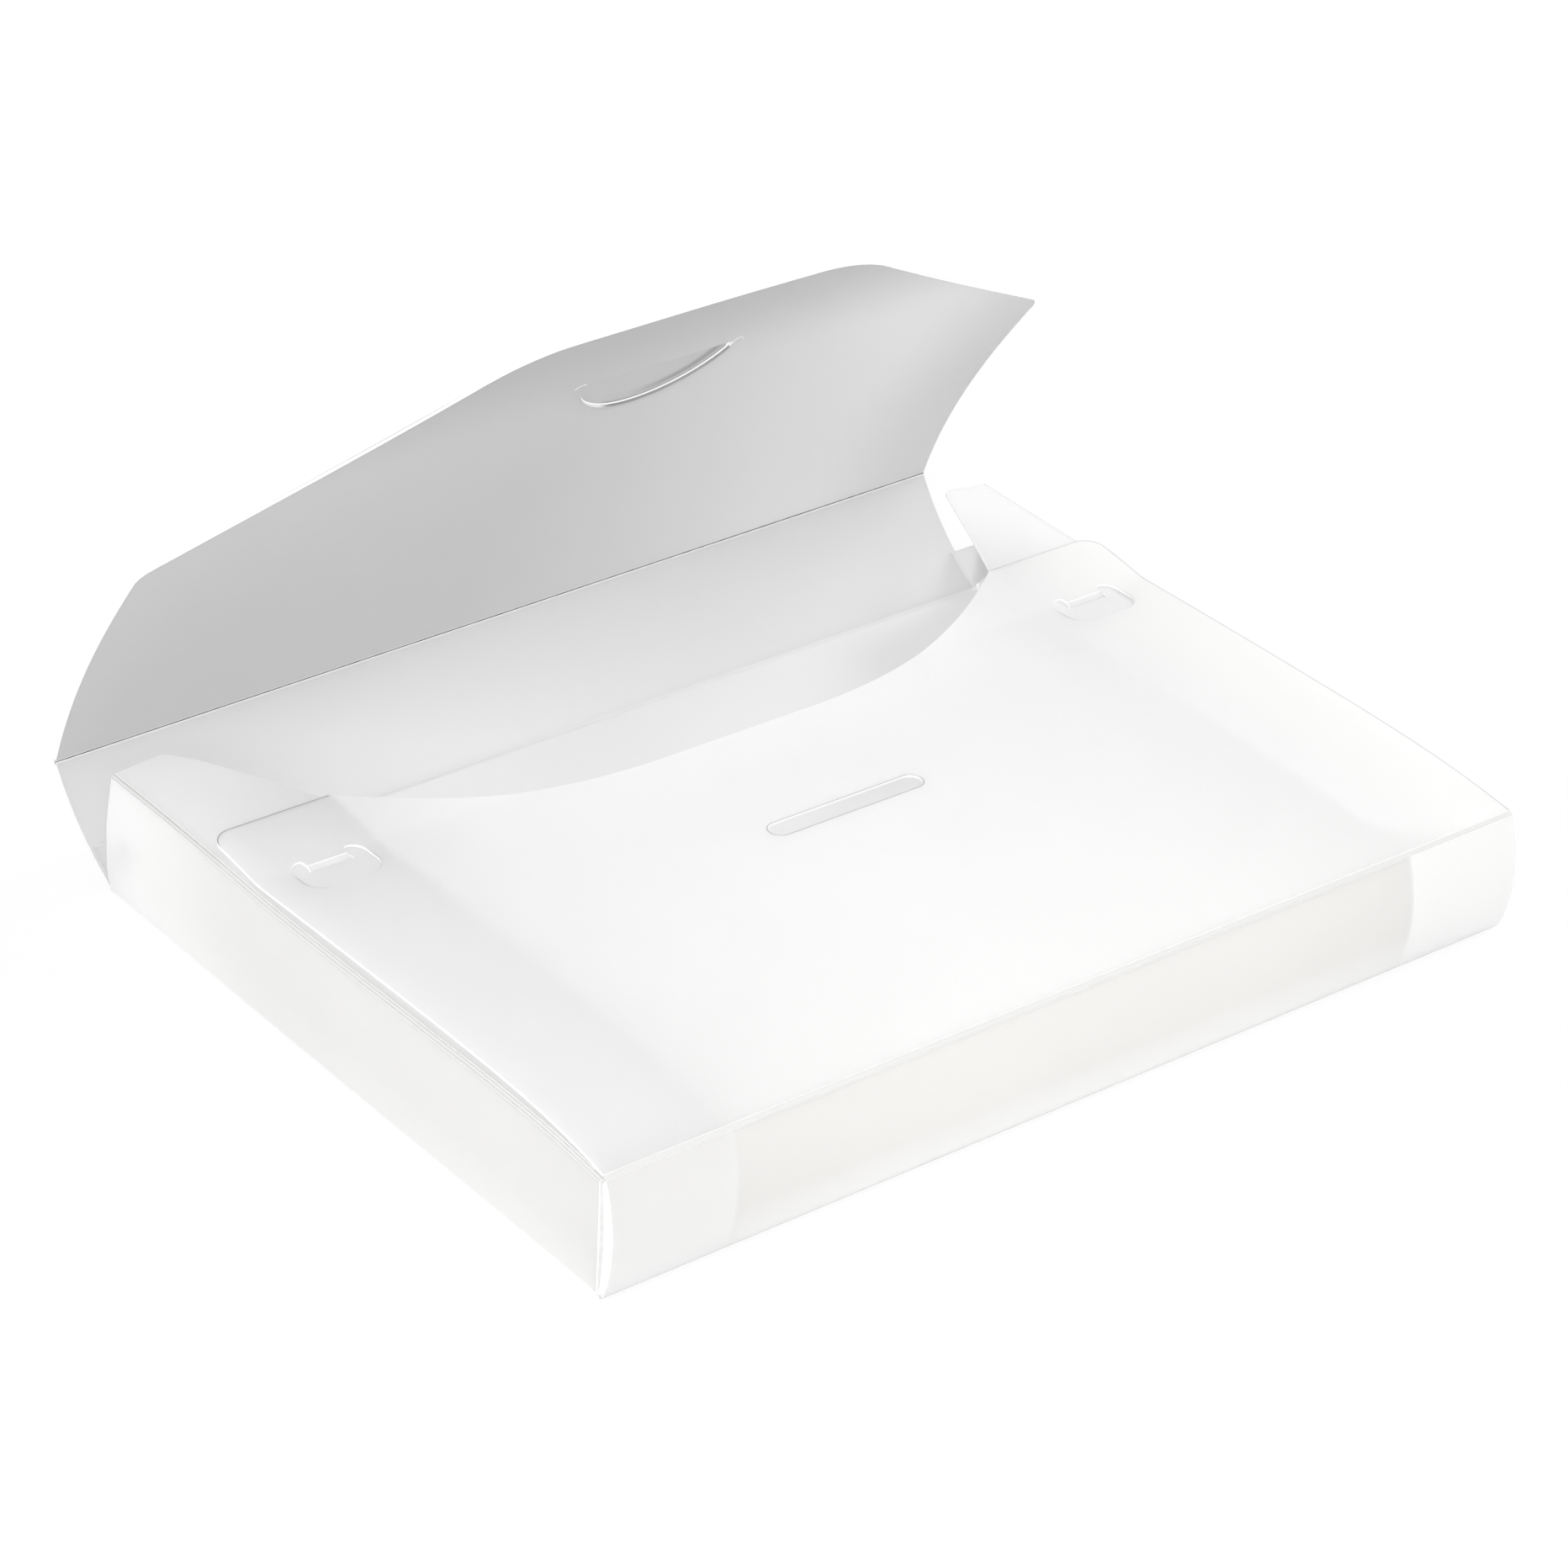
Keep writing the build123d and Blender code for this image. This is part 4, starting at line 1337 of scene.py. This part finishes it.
class BOXFILE_OT_creases(Operator):
    """Adds the scored creases between the panels"""

    bl_idname = "boxfile.creases"
    bl_label = "Creases"

    def execute(self, context):
        ends = np.array((-1, 1))
        self.front(ends * half_width(), settings().sheet.reach)
        self.rear(ends * half_width(), settings().sheet.reach)
        self.tongue(ends * (settings().lid.tongue_width / 2 - TOUCH), settings().sheet.reach)
        for hand, side in HANDS:
            self.side(hand, side, settings().sheet.reach)
        return {"FINISHED"}

    @staticmethod
    def front(ends, reach):
        """The creases at the foot and the head of the front wall."""
        fold, run, along = -fold_y(), front_wall_arc()[2], (-1, 0, 0)
        base, wall = placed(ends, fold + reach, base_z()), front_wall_shape(ends, run - reach)
        foot = placed(ends, fold, base_z())
        add_crease("front_base_crease", "box", "crease", base, foot, wall, along, spread=0.06)
        wall, top = front_wall_shape(ends, reach), top_shape(ends, fold + reach)
        head = placed(ends, fold, top_z())
        add_crease("front_top_crease", "box", "crease", wall, head, top, along, spread=0.06)

    @staticmethod
    def rear(ends, reach):
        """The creases at the foot and the head of the rear wall."""
        fold, run, along = fold_y(), rear_wall_arc()[2], (1, 0, 0)
        base, wall = placed(ends, fold - reach, base_z()), rear_wall_shape(ends, reach)
        foot = placed(ends, fold, base_z())
        bodies = ("box", "rear_wall")
        add_crease("rear_base_crease", bodies, "soft_crease", base, foot, wall, along, scored=False)
        wall, lid = rear_wall_shape(ends, run - reach), lid_shape(ends, reach)
        head = placed(ends, *hinge_at["lid_fold"][1:])
        add_crease("lid_crease", ("rear_wall", "lid"), "lid_fold_crease", wall, head, lid, along)

    @staticmethod
    def tongue(ends, reach):
        """The root of the lid's tongue."""
        lid, tongue = lid_shape(ends, settings().lid.tongue_at + reach), tongue_shape(ends, reach)
        root = placed(ends, *hinge_at["lid_tongue_fold"][1:])
        add_crease("lid_tongue_root", ("lid", "lid_tongue"), "crease", lid, root, tongue, (1, 0, 0))

    @staticmethod
    def side(hand, side, reach):
        """The creases round a short wall: at its foot, at its head and at its front tab."""
        low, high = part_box(f"{hand}_wall")
        wall, along = side_wall_shape(side), (0, -side, 0)
        outer, inner = side * side_x(), side * (side_x() - reach)
        y, z = np.linspace(low[1], high[1], 90), base_z()
        base, foot, rise = placed(inner, y, z), placed(wall(y, z)[:, 0], y, z), wall(y, z + reach)
        add_crease(f"{hand}_base_crease", "box", "pale_crease", base, foot, rise, along, scored=False)
        y = np.linspace(-fold_y() + 0.0006, high[1], 90)
        rise, flap = wall(y, side_level() - reach), flap_shape(side)(inner, y)
        head = placed(outer, y, side_fold_height(side, y))
        finish, spread = ("left_crease", 0.36) if side < 0 else ("crease", 0.12)
        add_crease(f"{hand}_top_crease", "box", finish, rise, head, flap, along, spread=spread)
        tab_low, tab_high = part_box(f"{hand}_front_tab")
        z = np.linspace(tab_low[2], tab_high[2], 24)
        y = tab_line(hand, z)
        edge, corner, tab = placed(outer, low[1], z), placed(outer, y, z), placed(inner, y, z)
        add_crease(f"{hand}_tab_crease", "box", "tab_crease", edge, corner, tab, (0, 0, -side))


class BOXFILE_OT_base(Operator):
    """Gives the base panel its frosted finish"""

    bl_idname = "boxfile.base"
    bl_label = "Base panel"

    def execute(self, context):
        base = frame["nodes"]["base_panel"]
        base.data.materials.clear()
        base.data.materials.append(material("base_sheet"))
        return {"FINISHED"}


class BOXFILE_OT_stage(Operator):
    """Adds the floor, the lamps, the pale surroundings and the camera"""

    bl_idname = "boxfile.stage"
    bl_label = "Stage"

    def execute(self, context):
        stage = settings().stage
        self.floor()
        self.lamp("front_lamp", (-1.8, -1.75, 1.8), 1.5, stage.lamp_front)
        self.lamp("left_lamp", (-1.6, 0.1, 1.2), 1.0, stage.lamp_left)
        self.lamp("right_lamp", (1.6, 0.1, 1.2), 1.0, stage.lamp_right)
        self.lamp("rear_lamp", (0.2, 1.6, 1.3), 1.2, stage.lamp_rear)
        self.surroundings(stage.world)
        self.camera(stage)
        context.scene.view_settings.view_transform = "Standard"
        return {"FINISHED"}

    @staticmethod
    def floor():
        """A pale floor that keeps the shadow and shows white to the camera."""
        reach, under = 3.0, -0.0001
        corners = np.array([(x * reach, y * reach, under) for x, y in ((-1, -1), (1, -1), (1, 1), (-1, 1))])
        floor = mesh_object("floor", corners, [(0, 1, 2, 3)])
        finish = Finish("floor")
        matte = finish.add("BsdfDiffuse", {"Color": (0.97, 0.97, 0.97, 1)})
        white = finish.add("Emission", {"Color": (1, 1, 1, 1), "Strength": 1.0})
        seen = finish.seen() * 0.8
        shader = finish.add("MixShader", {0: seen, 1: matte, 2: white})
        floor.data.materials.append(finish.close(shader))

    @staticmethod
    def stand(name, data, place, right, up, ahead):
        """A new lamp or camera at a place, with its right side, its top and its view in these directions."""
        thing = bpy.data.objects.new(name, data)
        matrix = Matrix(np.stack((right, up, -ahead), axis=1).tolist()).to_4x4()
        matrix.translation = place
        thing.matrix_world = matrix
        bpy.context.scene.collection.objects.link(thing)
        return thing

    def lamp(self, name, place, size, power):
        """A square area lamp that faces the box."""
        light = bpy.data.lights.new(name, "AREA")
        light.shape, light.size, light.energy = "SQUARE", size, power
        middle = (0, 0, 0.03)
        ahead = np.array(middle) - place
        ahead /= np.linalg.norm(ahead)
        right = np.cross(ahead, (0, 0, 1))
        right /= np.linalg.norm(right)
        self.stand(name, light, place, right, np.cross(right, ahead), ahead).visible_camera = False

    @staticmethod
    def surroundings(strength):
        """White where the camera, gloss or glass looks past the floor, and an even grey light otherwise."""
        world = bpy.data.worlds.new("surroundings")
        world.use_nodes = True
        bpy.context.scene.world = world
        sky = Finish("surroundings", world.node_tree)
        level = sky.seen() * (1 - strength) + strength
        ground = sky.add("Background", {"Color": (1, 1, 1, 1), "Strength": level})
        sky.add("OutputWorld", {"Surface": ground})

    def camera(self, stage):
        """The camera, at the photograph's place and angle."""
        data = bpy.data.cameras.new("camera")
        data.lens, data.sensor_width = stage.lens, 36.0
        data.clip_start, data.clip_end = 0.05, 20.0
        heading, down, roll = stage.heading, stage.tilt, stage.roll
        ahead = np.array((sin(heading) * cos(down), cos(heading) * cos(down), -sin(down)))
        right = np.array((cos(heading), -sin(heading), 0.0))
        up = np.cross(right, ahead)
        right, up = cos(roll) * right + sin(roll) * up, cos(roll) * up - sin(roll) * right
        bpy.context.scene.camera = self.stand("camera", data, stage.camera_at, right, up, ahead)


class BOXFILE_PT_panel(Panel):
    """The box file's sizes and steps"""

    bl_idname = "BOXFILE_PT_panel"
    bl_label = "Box file"
    bl_space_type = "VIEW_3D"
    bl_region_type = "UI"
    bl_category = "Box file"

    def draw(self, context):
        made = context.scene.box_file
        for group in BoxFile.__annotations__:
            box = self.layout.box()
            box.label(text=group.capitalize())
            for key in getattr(made, group).__annotations__:
                box.prop(getattr(made, group), key)
        for step in STEPS:
            self.layout.operator(step.bl_idname)


SIZES = (SheetSizes, BoxSizes, TopSizes, LockSizes, FlapSizes, RearSizes, LidSizes)
GROUPS = (*SIZES, Finishes, StageSettings, BoxFile)
STEPS = (
    BOXFILE_OT_base,
    BOXFILE_OT_top_panel,
    BOXFILE_OT_front_wall,
    BOXFILE_OT_side_walls,
    BOXFILE_OT_top_flaps,
    BOXFILE_OT_locks,
    BOXFILE_OT_rear_wall,
    BOXFILE_OT_lid,
    BOXFILE_OT_lid_tongue,
    BOXFILE_OT_creases,
    BOXFILE_OT_stage,
)
CLASSES = (*GROUPS, *STEPS, BOXFILE_PT_panel)


def register():
    for cls in CLASSES:
        bpy.utils.register_class(cls)
    bpy.types.Scene.box_file = PointerProperty(type=BoxFile)


def unregister():
    del bpy.types.Scene.box_file
    for cls in reversed(CLASSES):
        bpy.utils.unregister_class(cls)


def main():
    """Registers the add-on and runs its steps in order."""
    register()
    for step in STEPS:
        group, name = step.bl_idname.split(".")
        getattr(getattr(bpy.ops, group), name)()


if __name__ == "__main__":
    main()
